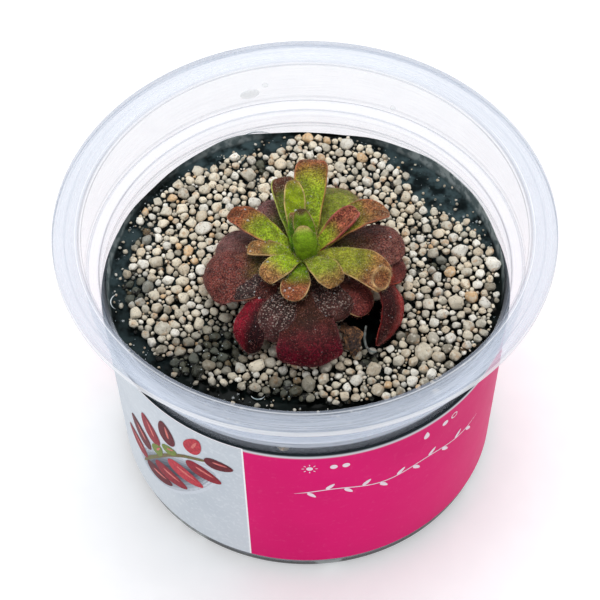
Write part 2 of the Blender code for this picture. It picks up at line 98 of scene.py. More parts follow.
# Pumice bed's reach at azimuths counted from +X towards +Y; bare gel shows past it
BED_SHORE = {
    0: 39.4, 12: 38.4, 20: 36.4, 31: 33.0, 38: 31.2, 50: 33.2, 60: 36.2, 70: 38.2, 88: 38.6,
    103: 35.0, 118: 36.0, 135: 38.2, 152: 37.6, 170: 36.6, 197: 36.8, 209: 35.4, 221: 34.0,
    230: 32.4, 246: 30.2, 262: 29.6, 275: 30.8, 288: 32.6, 302: 34.4, 315: 36.8, 330: 37.4, 345: 38.8,
}
BED_SEED = 5


def srgb(red, green, blue):
    """A screen colour from 0 to 255 as the linear colour that a shader takes."""
    return tuple(((c / 255 + 0.055) / 1.055) ** 2.4 if c > 10 else c / 3295 for c in (red, green, blue))


# Leaf colours
LIME = srgb(142, 168, 34)
FRESH = srgb(106, 142, 20)
MOSS = srgb(76, 82, 24)
TAN = srgb(150, 112, 64)
RUST = srgb(136, 80, 48)
BROWN = srgb(88, 50, 34)
UMBER = srgb(54, 30, 22)
WINE = srgb(100, 46, 40)
MAUVE = srgb(112, 76, 70)
CRIMSON = srgb(92, 8, 28)
CHERRY = srgb(122, 16, 34)
PALE_RIM = srgb(206, 172, 118)
GREEN_RIM = srgb(184, 196, 96)
PINK_RIM = srgb(178, 108, 84)
DARK_RIM = srgb(88, 40, 36)


class Leaf(NamedTuple):
    """One blade's form, in millimetres and degrees, measured from the crown's axis.

    rise and fall are (distance, height) pairs that steer the spine as it leaves its
    foot and as it comes to its tip; bow pushes it sideways, towards larger azimuths.
    """

    name: str
    azimuth: float
    reach: float
    tip: float
    width: float
    rise: tuple
    fall: tuple
    foot: tuple
    start: float
    bow: float = 0.0
    cup: float = 0.0
    roll: float = 0.0
    base: float = 0.3
    shoulder: float = 0.68
    blunt: float = 2.4
    thick: float = 1.0


class Look(NamedTuple):
    """One blade's colours from foot to tip, and what its surface carries.

    turn is the share of the length where the foot's colour gives way to the tip's;
    stipple, the crest highlight and dew are strengths from 0 to 1, the crest highlight being
    pale highlights painted on the crests of the blisters; relief is the height of the net of
    blisters; pocket is (share of the length, length, width, depth) of a hollow at the tip;
    the side shade darkens one side with painted shade: that of smaller azimuths above 0, the
    other below.
    """

    foot: tuple = FRESH
    tip: tuple = RUST
    rim: tuple = PALE_RIM
    under: tuple = CRIMSON
    turn: float = 0.6
    stipple: float = 0.6
    frost: float = 0.0
    dew: float = 0.3
    relief: float = 0.0
    pocket: tuple = ()
    wave: float = 0.12
    side_shade: float = 0.0


SKIRT = [
    (Leaf("front_apron", -87.5, 22.2, 50.4, 13.5, (9, 55.6), (23.7, 60.4), (0, -1.2), 55,
          cup=-28, base=0.28, shoulder=0.86, blunt=2.8),
     Look(srgb(58, 32, 20), CRIMSON, srgb(122, 66, 66), turn=0.74, stipple=0.9)),
    (Leaf("front_left_apron", -120, 21.5, 50.2, 7.4, (9, 55.4), (21.7, 58.6), (-0.6, -1), 54.8,
          bow=-2.6, cup=-30, shoulder=0.7),
     Look(BROWN, CHERRY, srgb(160, 60, 66), turn=0.4, stipple=0.6, side_shade=-0.92)),
    (Leaf("right_strap", -51.5, 22.6, 51.2, 8.2, (7, 56.2), (20.5, 54.9), (1, -0.5), 55, bow=15,
          cup=-20, roll=-42, base=0.4, shoulder=0.6),
     Look(srgb(52, 18, 14), srgb(150, 30, 30), srgb(196, 60, 48), under=srgb(150, 30, 30), turn=0.3,
          stipple=0.5, side_shade=0.9)),
    (Leaf("left_broad", -176.5, 19.8, 52.7, 19.0, (9, 57), (19, 58.7), (-1, 0), 55, cup=-44,
          roll=12, shoulder=0.66, blunt=2.5),
     Look(MOSS, srgb(106, 54, 44), MAUVE, turn=0.45, stipple=0.9, frost=0.25)),
    (Leaf("left_under", 162, 18.3, 52.8, 9.0, (9, 56), (17, 57.5), (-1, 0.3), 54.7, cup=-25),
     Look(BROWN, MAUVE, MAUVE, stipple=0.6, frost=0.2)),
    (Leaf("back_left_under", 141, 16.5, 52, 9.0, (9, 55.5), (15, 57), (-0.8, 0.8), 54.5, cup=-25),
     Look(MOSS, MAUVE, MAUVE, stipple=0.6, frost=0.2)),
    (Leaf("back_left", 115, 17, 55.5, 7.6, (9, 56.5), (15, 58.5), (-0.5, 1), 54.9, cup=-15),
     Look(MOSS, MAUVE, MAUVE, turn=0.7, stipple=0.7, frost=0.3)),
    (Leaf("back_under", 93, 17, 52, 9.0, (9, 55.5), (15, 57), (0, 1), 54.6, cup=-20),
     Look(MOSS, WINE, DARK_RIM)),
    (Leaf("back_right", 65, 20.4, 55.5, 10.0, (9, 57), (17, 59.5), (0.5, 1), 55, cup=-15,
          base=0.35, shoulder=0.7),
     Look(srgb(128, 142, 42), MAUVE, MAUVE, turn=0.92, stipple=0.6, frost=0.15)),
    (Leaf("back_right_under", 38, 17, 52, 9.0, (9, 55.5), (16, 57), (0.8, 0.8), 54.6, cup=-20),
     Look(MOSS, WINE, DARK_RIM)),
    (Leaf("right_broad", 12, 20.6, 55.5, 11.0, (9, 56.5), (18.5, 59), (1, 0.4), 55, cup=-22),
     Look(MOSS, srgb(116, 70, 58), MAUVE, turn=0.5, stipple=0.85, frost=0.3)),
    (Leaf("right_under", -4, 20.4, 53.6, 10.0, (9, 55.2), (19, 56.5), (1, 0), 54.6, cup=-20),
     Look(BROWN, WINE, srgb(170, 70, 48), stipple=0.6)),
    (Leaf("right_rimmed", -13, 18.4, 54.6, 9.0, (9, 55.4), (17, 57.6), (1, -0.3), 55, cup=-20),
     Look(UMBER, srgb(112, 44, 32), srgb(180, 84, 52), stipple=0.6)),
    (Leaf("front_right_low", -44, 17.3, 54, 7.6, (8, 55.6), (16, 58), (0.8, -0.8), 54.8,
          cup=-15, base=0.35),
     Look(BROWN, WINE, PALE_RIM, stipple=0.8)),
    (Leaf("front_right", -62, 15.8, 54.8, 8.0, (8, 55.6), (15, 59.2), (0.5, -1), 55.2, cup=-20,
          base=0.35),
     Look(srgb(40, 24, 20), srgb(72, 40, 34), srgb(130, 74, 56), turn=0.8, stipple=0.5, frost=0.8,
          relief=0.26)),
    (Leaf("front_bumpy", -110.5, 18.6, 52.6, 7.8, (8, 55.4), (19.2, 60.6), (-0.4, -1), 55,
          cup=-22, shoulder=0.74, blunt=2.8),
     Look(srgb(40, 24, 20), srgb(86, 50, 48), srgb(120, 70, 60), turn=0.8, stipple=0.5, frost=1.0,
          relief=0.3)),
    (Leaf("left_front", -153, 17.0, 55, 8.0, (8, 56), (15.5, 58), (-0.9, -0.5), 55.2, cup=-20,
          base=0.35),
     Look(srgb(62, 62, 24), srgb(58, 44, 40), srgb(160, 104, 80), turn=0.35, stipple=0.8, frost=0.9,
          relief=0.16)),
    (Leaf("left_front_short", -138, 13.6, 54.8, 7.0, (6, 56), (12.5, 58), (-0.7, -0.7), 55.2,
          cup=-20, base=0.35, shoulder=0.65),
     Look(srgb(60, 30, 22), srgb(70, 34, 26), PALE_RIM, stipple=0.8)),
]

HEART = [
    (Leaf("upright", 84.5, 21.2, 62, 6.8, (8, 58.5), (16.5, 65), (1.4, 1), 57.5, cup=12,
          base=0.36, shoulder=0.82, blunt=2.3),
     Look(LIME, RUST, srgb(176, 112, 76), turn=0.8, stipple=0.9)),
    (Leaf("upright_dark", 103.5, 18.5, 60.3, 5.6, (8, 58), (14, 62), (-1.2, 1), 57.5,
          cup=10, base=0.4, shoulder=0.8),
     Look(FRESH, BROWN, GREEN_RIM, turn=0.68, stipple=0.7, frost=0.3)),
    (Leaf("oblong", 98.5, 14.6, 63.7, 4.3, (5, 59.5), (10.5, 64.5), (-1.4, 1.2), 58,
          cup=8, base=0.45, shoulder=0.62),
     Look(srgb(126, 146, 16), TAN, PALE_RIM, turn=0.94, stipple=0.4)),
    (Leaf("sliver", 110, 7, 63, 2.7, (2.5, 60.5), (5, 62.5), (-1.6, 0.6), 57.5,
          base=0.7, shoulder=0.5, thick=1.5),
     Look(srgb(70, 112, 16), srgb(170, 96, 80), FRESH, under=srgb(70, 112, 16), turn=0.9, stipple=0.3)),
    (Leaf("front_bud", -90, -1.9, 64.3, 5.0, (1.2, 60), (1.4, 65.8), (0.9, -1.2), 56.9,
          cup=40, base=0.85, shoulder=0.6, thick=1.3),
     Look(FRESH, srgb(166, 150, 80), srgb(196, 150, 112), under=srgb(112, 144, 26), turn=0.88,
          stipple=0.7)),
    (Leaf("back_bud", 95, 6.2, 64.6, 4.4, (2.2, 61), (4, 65), (1.5, 0.8), 57.3,
          cup=-25, base=0.8, shoulder=0.5, thick=1.2),
     Look(FRESH, BROWN, srgb(190, 140, 110), under=FRESH, turn=0.9, stipple=0.3,
          pocket=(0.93, 1.3, 1.1, 0.25))),
    (Leaf("channelled", 32, 13, 62.8, 5.6, (5, 58.5), (10.5, 62.8), (1.8, 0.8), 57.5,
          cup=55, base=0.45, shoulder=0.66),
     Look(LIME, srgb(146, 84, 60), srgb(176, 90, 84), under=srgb(140, 62, 56), turn=0.5,
          stipple=0.9)),
    (Leaf("pointed", 22, 18.6, 60.8, 8.4, (6, 57.8), (14, 63), (1.8, 1), 57.4, bow=4, cup=12,
          roll=-14, base=0.4, shoulder=0.66, blunt=1.9),
     Look(LIME, srgb(138, 92, 54), PINK_RIM, under=srgb(140, 84, 56), turn=0.66, stipple=0.85)),
    (Leaf("recurved", -28, 17.6, 57, 8.0, (7, 60), (17, 62.6), (1.5, 0.5), 57.5, bow=1.7,
          cup=-10, base=0.4, shoulder=0.7, blunt=2.8),
     Look(srgb(134, 140, 42), srgb(140, 92, 54), PALE_RIM, turn=0.7, stipple=0.8,
          pocket=(0.88, 1.7, 2.5, 0.8))),
    (Leaf("front_right_short", -54, 10.5, 58.5, 6.0, (4, 60), (9.6, 62.5), (0.4, -1), 57.8,
          cup=-8, base=0.4, shoulder=0.66),
     Look(srgb(136, 152, 44), TAN, PALE_RIM, turn=0.78, stipple=0.8)),
    (Leaf("front_short", -101, 12.2, 58.3, 5.8, (4, 57.8), (10.5, 61.2), (-0.3, -1.2), 57.5,
          cup=-6, base=0.4, shoulder=0.66),
     Look(FRESH, RUST, PALE_RIM, turn=0.6, stipple=0.7, dew=0.8)),
    (Leaf("front_left_short", -137, 10.2, 58.6, 5.7, (4, 60), (9.5, 62.2), (-0.7, -1), 57.8,
          cup=-8, base=0.4, shoulder=0.64, blunt=2.6),
     Look(LIME, TAN, PALE_RIM, turn=0.68, stipple=0.8)),
    (Leaf("left_short", 175, 11.2, 58.2, 4.4, (4, 58.8), (9, 60), (-1.2, -0.2), 57.5,
          cup=15, base=0.4),
     Look(LIME, TAN, PALE_RIM, turn=0.55, stipple=0.6, dew=0.6)),
    (Leaf("left_long", 147.5, 17.4, 59.6, 5.8, (6, 59), (14, 62.6), (-1.4, 0.6), 57.5, cup=-8,
          base=0.4, shoulder=0.62, blunt=2.6),
     Look(LIME, RUST, PINK_RIM, turn=0.66, stipple=0.8, dew=0.7, pocket=(0.9, 1.6, 1.5, 0.35))),
]

# The withered leaf's spine, from its loose end under the skirt to its tip on the bed
WITHERED_SPINE = [(7.4, -13.8, 51.8), (8.2, -15.8, 53.3), (9.2, -18.4, 52.8), (9.4, -20.9, 50.3)]
WITHERED = Leaf("withered", -70, 0, 0, 3.4, (0, 0), (0, 0), (0, 0), 0,
                cup=25, base=0.5, shoulder=0.5, blunt=2.0, thick=0.75)
WITHERED_LOOK = Look(srgb(112, 72, 42), srgb(58, 34, 22), srgb(150, 104, 62), srgb(60, 38, 26),
                     stipple=0.7, wave=0.55, dew=0.0, relief=0.3)

BLADE_STATIONS = 50
BLADE_RING = 50

# Gland hairs: their length on a blade's face, and how many stand along its edge
HAIR_LENGTH = 0.32
EDGE_HAIRS_PER_MM = 4.0

# Half the floor's width in millimetres, and what the lights point at in metres
FLOOR_SPAN = 900.0
LIGHT_TARGET = Vector((0.0, 0.0, 0.03))


# Materials

class Shader:
    """A Principled material whose nodes are added one call at a time."""

    def __init__(self, name, colour=(0.8, 0.8, 0.8), **settings):
        self.material = bpy.data.materials.new(name)
        self.material.use_nodes = True
        self.tree = self.material.node_tree
        self.surface = self.tree.nodes["Principled BSDF"]
        self.set("Base Color", (*colour, 1.0))
        for socket, value in settings.items():
            self.set(socket.replace("_", " ").title().replace("Ior", "IOR"), value)

    def set(self, socket, value):
        self.surface.inputs[socket].default_value = value

    def drive(self, socket, source):
        self.tree.links.new(source, self.surface.inputs[socket])

    def node(self, kind, output, inputs=None, **values):
        """Add a node: inputs are linked where they are outputs of others, and set otherwise."""
        made = self.tree.nodes.new("ShaderNode" + kind)
        for key, value in values.items():
            if hasattr(made, key):
                setattr(made, key, value)
            else:
                made.inputs[key.replace("_", " ").title()].default_value = value
        for key, value in (inputs or {}).items():
            socket = made.inputs[key]
            if isinstance(value, bpy.types.NodeSocket):
                self.tree.links.new(value, socket)
            else:
                socket.default_value = (*value, 1.0) if socket.type == "RGBA" else value
        return made.outputs[output]

    def place(self):
        return self.node("TexCoord", "Object")

    def noise(self, per_mm, detail=3.0, roughness=0.55, distortion=0.0):
        """Noise with that many features a millimetre."""
        return self.node("TexNoise", "Fac", {"Vector": self.place()}, scale=per_mm / MM,
                         detail=detail, roughness=roughness, distortion=distortion)

    def attribute(self, name, output="Fac"):
        return self.node("Attribute", output, attribute_name=name)

    def span(self, value, low, high, to_low=0.0, to_high=1.0):
        """Map low..high to to_low..to_high with a smooth step, clamped."""
        inputs = {"Value": value, "From Min": low, "From Max": high, "To Min": to_low, "To Max": to_high}
        return self.node("MapRange", "Result", inputs, interpolation_type="SMOOTHSTEP")

    def times(self, a, b):
        return self.node("Math", "Value", {0: a, 1: b}, operation="MULTIPLY")

    def mix(self, share, a, b, blend="MIX"):
        return self.node("Mix", 2, {0: share, 6: a, 7: b}, data_type="RGBA", blend_type=blend)

    def blotches(self, per_mm, detail, low, high, a, b, most=1.0):
        """Colour b in blotches over a, where noise rises from low to high."""
        return self.mix(self.span(self.noise(per_mm, detail), low, high, 0.0, most), a, b)

    def bump(self, height, distance_mm, strength=1.0):
        """Raise the surface by a height pattern, over any bump given before."""
        inputs = {"Height": height}
        if self.surface.inputs["Normal"].is_linked:
            inputs["Normal"] = self.surface.inputs["Normal"].links[0].from_socket
        self.drive("Normal", self.node("Bump", "Normal", inputs, strength=strength,
                                       distance=distance_mm * MM))


def leaf_material(name, sheen):
    """Velvety leaf skin: dark gland dots and painted glints over the tone, and pale highlights painted on the
    blisters' crests.
    """
    shader = Shader(name, roughness=0.42, sheen_weight=sheen, sheen_roughness=0.35,
                    specular_ior_level=0.12, subsurface_weight=0.05, subsurface_scale=0.8 * MM)
    tone = shader.attribute("tone", "Color")
    broad = shader.span(shader.noise(0.55, 3.0), 0.34, 0.66, 0.7, 1.25)
    grey = shader.node("CombineColor", "Color", {"Red": broad, "Green": broad, "Blue": broad})
    tone = shader.mix(1.0, tone, grey, "MULTIPLY")
    stipple = shader.attribute("stipple")
    glands = shader.noise(2.8, 2.0, 0.6)
    dots = shader.times(shader.span(glands, 0.48, 0.54), stipple)
    tone = shader.mix(dots, tone, shader.mix(1.0, tone, (0.3, 0.2, 0.3), "MULTIPLY"))
    # Painted glints: pale specks that brighten the tone where a fine noise peaks
    lights = shader.times(shader.span(shader.noise(3.0, 1.0), 0.54, 0.6), stipple)
    tone = shader.mix(shader.times(lights, 0.7), tone, shader.mix(1.0, tone, (2.2, 1.9, 2.2), "MULTIPLY"))
    cells = shader.node("TexVoronoi", "Distance", {"Vector": shader.place()}, scale=2.4 / MM)
    crests = shader.span(cells, 0.22, 0.5, 1.0, 0.0)
    broken = shader.span(shader.noise(1.8, 3.0), 0.38, 0.56)
    # Painted highlight: pale grey on the crests of the blisters, as strong as each blade asks
    frost = shader.times(shader.times(crests, broken), shader.attribute("frost"))
    shader.drive("Base Color", shader.mix(frost, tone, srgb(166, 148, 138)))
    shader.drive("Roughness", shader.span(glands, 0.35, 0.65, 0.26, 0.58))
    shader.bump(glands, 0.2)
    shader.bump(shader.noise(0.9, 2.0), 0.3)
    return shader.material


def withered_material():
    shader = Shader("withered_leaf_skin", roughness=0.6)
    crease = shader.noise(1.6, 4.0, 0.7, distortion=1.5)
    # Painted shade: the creases are darkened to near black
    tone = shader.mix(shader.span(crease, 0.42, 0.58), shader.attribute("tone", "Color"), srgb(22, 12, 9))
    # Painted highlights: pale orange-brown blotches over the crumpled skin
    shader.drive("Base Color", shader.blotches(2.6, 2.0, 0.58, 0.66, tone, srgb(176, 124, 76), 0.7))
    shader.bump(crease, 0.4)
    return shader.material


def blotched_material(name, colour, other, per_mm, low, high, **settings):
    """A skin of one colour with blotches of another."""
    shader = Shader(name, **settings)
    shader.drive("Base Color", shader.blotches(per_mm, 3.0, low, high, colour, other))
    return shader.material


def pumice_material():
    """Chalky grains: dark pores and ochre stains over the tint, grey and glossy where wet."""
    shader = Shader("pumice_grain", roughness=0.8)
    tone = shader.attribute("tint", "Color")
    tone = shader.blotches(0.42, 3.0, 0.56, 0.68, tone, srgb(206, 156, 104), 0.6)
    pores = shader.noise(2.6, 4.0, 0.7)
    tone = shader.mix(shader.span(pores, 0.54, 0.66, 0.0, 0.75), tone, srgb(88, 76, 60))
    tone = shader.blotches(1.3, 2.0, 0.5, 0.66, tone, srgb(244, 236, 218), 0.6)
    wet = shader.attribute("wet")
    soaked = shader.mix(1.0, tone, srgb(94, 100, 94), "MULTIPLY")
    shader.drive("Base Color", shader.mix(wet, tone, soaked))
    shader.drive("Roughness", shader.span(wet, 0.1, 0.9, 0.7, 0.14))
    shader.bump(pores, 0.4)
    return shader.material


def gel_material():
    """Black gel, teal where it lies bare at the listed azimuths, greyer where a thin skin creeps up the wall.
    """
    shader = Shader("black_gel_surface", roughness=0.1, ior=1.36, specular_ior_level=0.06)
    deep = shader.blotches(0.3, 3.0, 0.42, 0.62, srgb(5, 7, 6), srgb(16, 22, 21))
    teal = shader.blotches(0.28, 3.0, 0.38, 0.62, srgb(18, 25, 26), srgb(66, 82, 85))
    skin = shader.blotches(0.5, 3.0, 0.4, 0.6, srgb(104, 118, 120), srgb(166, 176, 176))
    tone = shader.mix(shader.attribute("bare"), deep, teal)
    shader.drive("Base Color", shader.mix(shader.attribute("thin"), tone, skin))
    shader.bump(shader.noise(0.14, 2.0), 0.35)
    return shader.material


def print_material(name, colour, deep):
    shader = Shader(name, roughness=0.45, specular_ior_level=0.12)
    grain = shader.noise(1.8, 2.0)
    shader.drive("Base Color", shader.mix(shader.span(grain, 0.35, 0.7, 0.0, 0.6), colour, deep))
    shader.bump(grain, 0.015)
    return shader.material


# Near-white paint for the beads and arcs that stand for glints: painted highlights
def glint_material():
    return blotched_material("painted_glint", srgb(236, 242, 244), srgb(150, 166, 170), 0.8, 0.35, 0.6,
                             roughness=0.1)


def water_material():
    return Shader("water", (0.9, 0.95, 0.95), roughness=0.02, alpha=0.22, ior=1.33,
                  specular_ior_level=0.9).material


# Mesh helpers

def mesh_object(name, points, faces, material, attributes=None, smooth_angle=None):
    """An object from points in millimetres, with numbers or colours at its points."""
    mesh = bpy.data.meshes.new(name)
    mesh.from_pydata(np.asarray(points, float) * MM, [], faces)
    mesh.update()
    mesh.shade_smooth()
    if smooth_angle:
        mesh.set_sharp_from_angle(angle=math.radians(smooth_angle))
    for key, values in (attributes or {}).items():
        values = np.asarray(values, np.float32)
        if values.ndim == 2:
            layer = mesh.color_attributes.new(key, "FLOAT_COLOR", "POINT")
            rgba = np.ones((len(values), 4), np.float32)
            rgba[:, :3] = values
            layer.data.foreach_set("color", rgba.ravel())
        else:
            mesh.attributes.new(key, "FLOAT", "POINT").data.foreach_set("value", values)
    mesh.materials.append(material)
    made = bpy.data.objects.new(name, mesh)
    bpy.context.scene.collection.objects.link(made)
    return made


def piece(made, slot, *replaced):
    """Let a finished object ride on the frame and stand for the nodes it replaces."""
    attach(made, "root")
    if replaced:
        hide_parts(*replaced)
    return made


def add_piece(name, parts, material, slot, *replaced):
    """One piece joined from parts, each (points, faces) or (points, faces, attributes)."""
    points, faces, shared = [], [], {}
    count = 0
    for part_points, part_faces, *attributes in parts:
        part_points = np.asarray(part_points, float)
        points.append(part_points)
        faces += [tuple(n + count for n in face) for face in part_faces]
        for key, values in (attributes[0] if attributes else {}).items():
            shared.setdefault(key, []).append(values)
        count += len(part_points)
    shared = {key: np.concatenate(values) for key, values in shared.items()}
    return piece(mesh_object(name, np.concatenate(points), faces, material, shared), slot, *replaced)


def smoothstep(x):
    x = np.clip(x, 0.0, 1.0)
    return x * x * (3.0 - 2.0 * x)


def lerp(a, b, share):
    return a + (b - a) * share


def unit(vectors):
    return vectors / np.linalg.norm(vectors, axis=-1)[..., None]


def headings(angle):
    """Unit vectors that point outwards and to the left at an angle about the Z axis."""
    return (np.array([math.cos(angle), math.sin(angle), 0.0]),
            np.array([-math.sin(angle), math.cos(angle), 0.0]))


def sampled(values, share, stations):
    """Rows of values, given at shares, read off at stations."""
    return np.stack([np.interp(stations, share, values[:, k]) for k in range(values.shape[1])], axis=1)


def softened(knots, count, rounds):
    """A path of count points along the knots, smoothed that many times."""
    knots = np.array(knots)
    path = sampled(knots, np.arange(len(knots)), np.linspace(0.0, len(knots) - 1.0, count))
    for _ in range(rounds):
        path[1:-1] = 0.5 * path[1:-1] + 0.25 * (path[:-2] + path[2:])
    return path


def grid_faces(rows, columns, round_rows=False, round_columns=False):
    """Faces between the rows of a grid of points, which may close round either way or both."""
    faces = []
    for i in range(rows if round_rows else rows - 1):
        here, after = i * columns, (i + 1) % rows * columns
        for j in range(columns if round_columns else columns - 1):
            beside = (j + 1) % columns
            faces.append((here + j, here + beside, after + beside, after + j))
    return faces


def tube_faces(stations, ring):
    """Faces of a tube of rings, capped by a point before the first and after the last."""
    faces = grid_faces(stations, ring, round_columns=True)
    start, end = stations * ring, stations * ring + 1
    last = (stations - 1) * ring
    for j in range(ring):
        beside = (j + 1) % ring
        faces += [(start, beside, j), (end, last + j, last + beside)]
    return faces


def tube(path, side, up, wide, high, ring):
    """A closed tube along a path, from its half width and half height at each point."""
    phi = TURN * np.arange(ring) / ring
    rings = (path[:, None, :] + side[:, None, :] * (wide * np.cos(phi))[..., None]
             + up[:, None, :] * (high * np.sin(phi))[..., None])
    return np.concatenate([rings.reshape(-1, 3), path[:1], path[-1:]]), tube_faces(len(path), ring)


def round_rings(radii, heights, segments):
    """Points of rings about the axis; the two may have one column, or one for each segment."""
    angle = TURN * np.arange(segments) / segments
    radii = np.broadcast_to(radii, (len(radii), segments))
    return np.stack([radii * np.cos(angle), radii * np.sin(angle),
                     np.broadcast_to(heights, radii.shape)], axis=2)


def corner_arc(before, corner, after, radius, most):
    """Four points that ease a corner, cut back by radius or by most of its shorter side."""
    before, corner, after = (np.array(point, float) for point in (before, corner, after))
    back, ahead = before - corner, after - corner
    cut = min(radius, most * np.linalg.norm(back), most * np.linalg.norm(ahead))
    a = corner + back / np.linalg.norm(back) * cut
    b = corner + ahead / np.linalg.norm(ahead) * cut
    return [(1 - share) ** 2 * a + 2 * share * (1 - share) * corner + share ** 2 * b
            for share in np.linspace(0.0, 1.0, 4)]


# Leaves

def spine_of(leaf):
    """Four steering points of a leaf's spine."""
    out, left = headings(math.radians(leaf.azimuth))
    up = np.array([0.0, 0.0, 1.0])
    axis = np.array([*CROWN_AXIS, 0.0])
    foot = np.array([*leaf.foot, 0.0])
    return [
        axis + foot + leaf.start * up,
        axis + 0.5 * foot + leaf.rise[0] * out + 0.6 * leaf.bow * left + leaf.rise[1] * up,
        axis + leaf.fall[0] * out + leaf.bow * left + leaf.fall[1] * up,
        axis + leaf.reach * out + leaf.tip * up,
    ]


def walk_spine(steer, stations):
    """Points and directions at shares of the length of a steered curve, and its length."""
    s = np.linspace(0.0, 1.0, 201)[:, None]
    curve = ((1 - s) ** 3 * steer[0] + 3 * (1 - s) ** 2 * s * steer[1]
             + 3 * (1 - s) * s ** 2 * steer[2] + s ** 3 * steer[3])
    length = np.concatenate([[0.0], np.cumsum(np.linalg.norm(np.diff(curve, axis=0), axis=1))])
    share = length / length[-1]
    along = unit(sampled(np.gradient(curve, axis=0), share, stations))
    return sampled(curve, share, stations), along, length[-1]


def half_width(leaf, t):
    """Half the blade's width: widening to the shoulder, rounded to the tip."""
    widening = leaf.base + (1.0 - leaf.base) * smoothstep(t / leaf.shoulder)
    past = np.clip((t - leaf.shoulder) / (1.0 - leaf.shoulder), 0.0, 1.0)
    return 0.5 * leaf.width * widening * (1.0 - past ** leaf.blunt) ** (1.0 / leaf.blunt)


def hills(x, y, size, seed):
    """Smooth uneven hills from -1 to 1, about size across."""
    draw = np.random.default_rng(seed)
    total = np.zeros(np.broadcast(x, y).shape)
    for _ in range(5):
        angle, phase, stretch = draw.uniform(0, TURN), draw.uniform(0, TURN), draw.uniform(0.7, 1.5)
        wave = TURN / (2.0 * size * stretch)
        total += np.sin(wave * (x * math.cos(angle) + y * math.sin(angle)) + phase)
    return total / 3.0


def blisters(x, y, spacing, seed):
    """Heights from 0 to 1 of rounded blisters that crowd at about that spacing."""
    draw = np.random.default_rng(seed)
    cols = np.arange(x.min() - spacing, x.max() + spacing, spacing)
    rows = np.arange(y.min() - spacing, y.max() + spacing, spacing)
    centres = np.stack(np.meshgrid(cols, rows), axis=2).reshape(-1, 2)
    centres += draw.uniform(-0.4, 0.4, centres.shape) * spacing
    away = np.hypot(x[..., None] - centres[:, 0], y[..., None] - centres[:, 1]).min(axis=-1)
    return 1.0 - smoothstep(away / (0.62 * spacing))


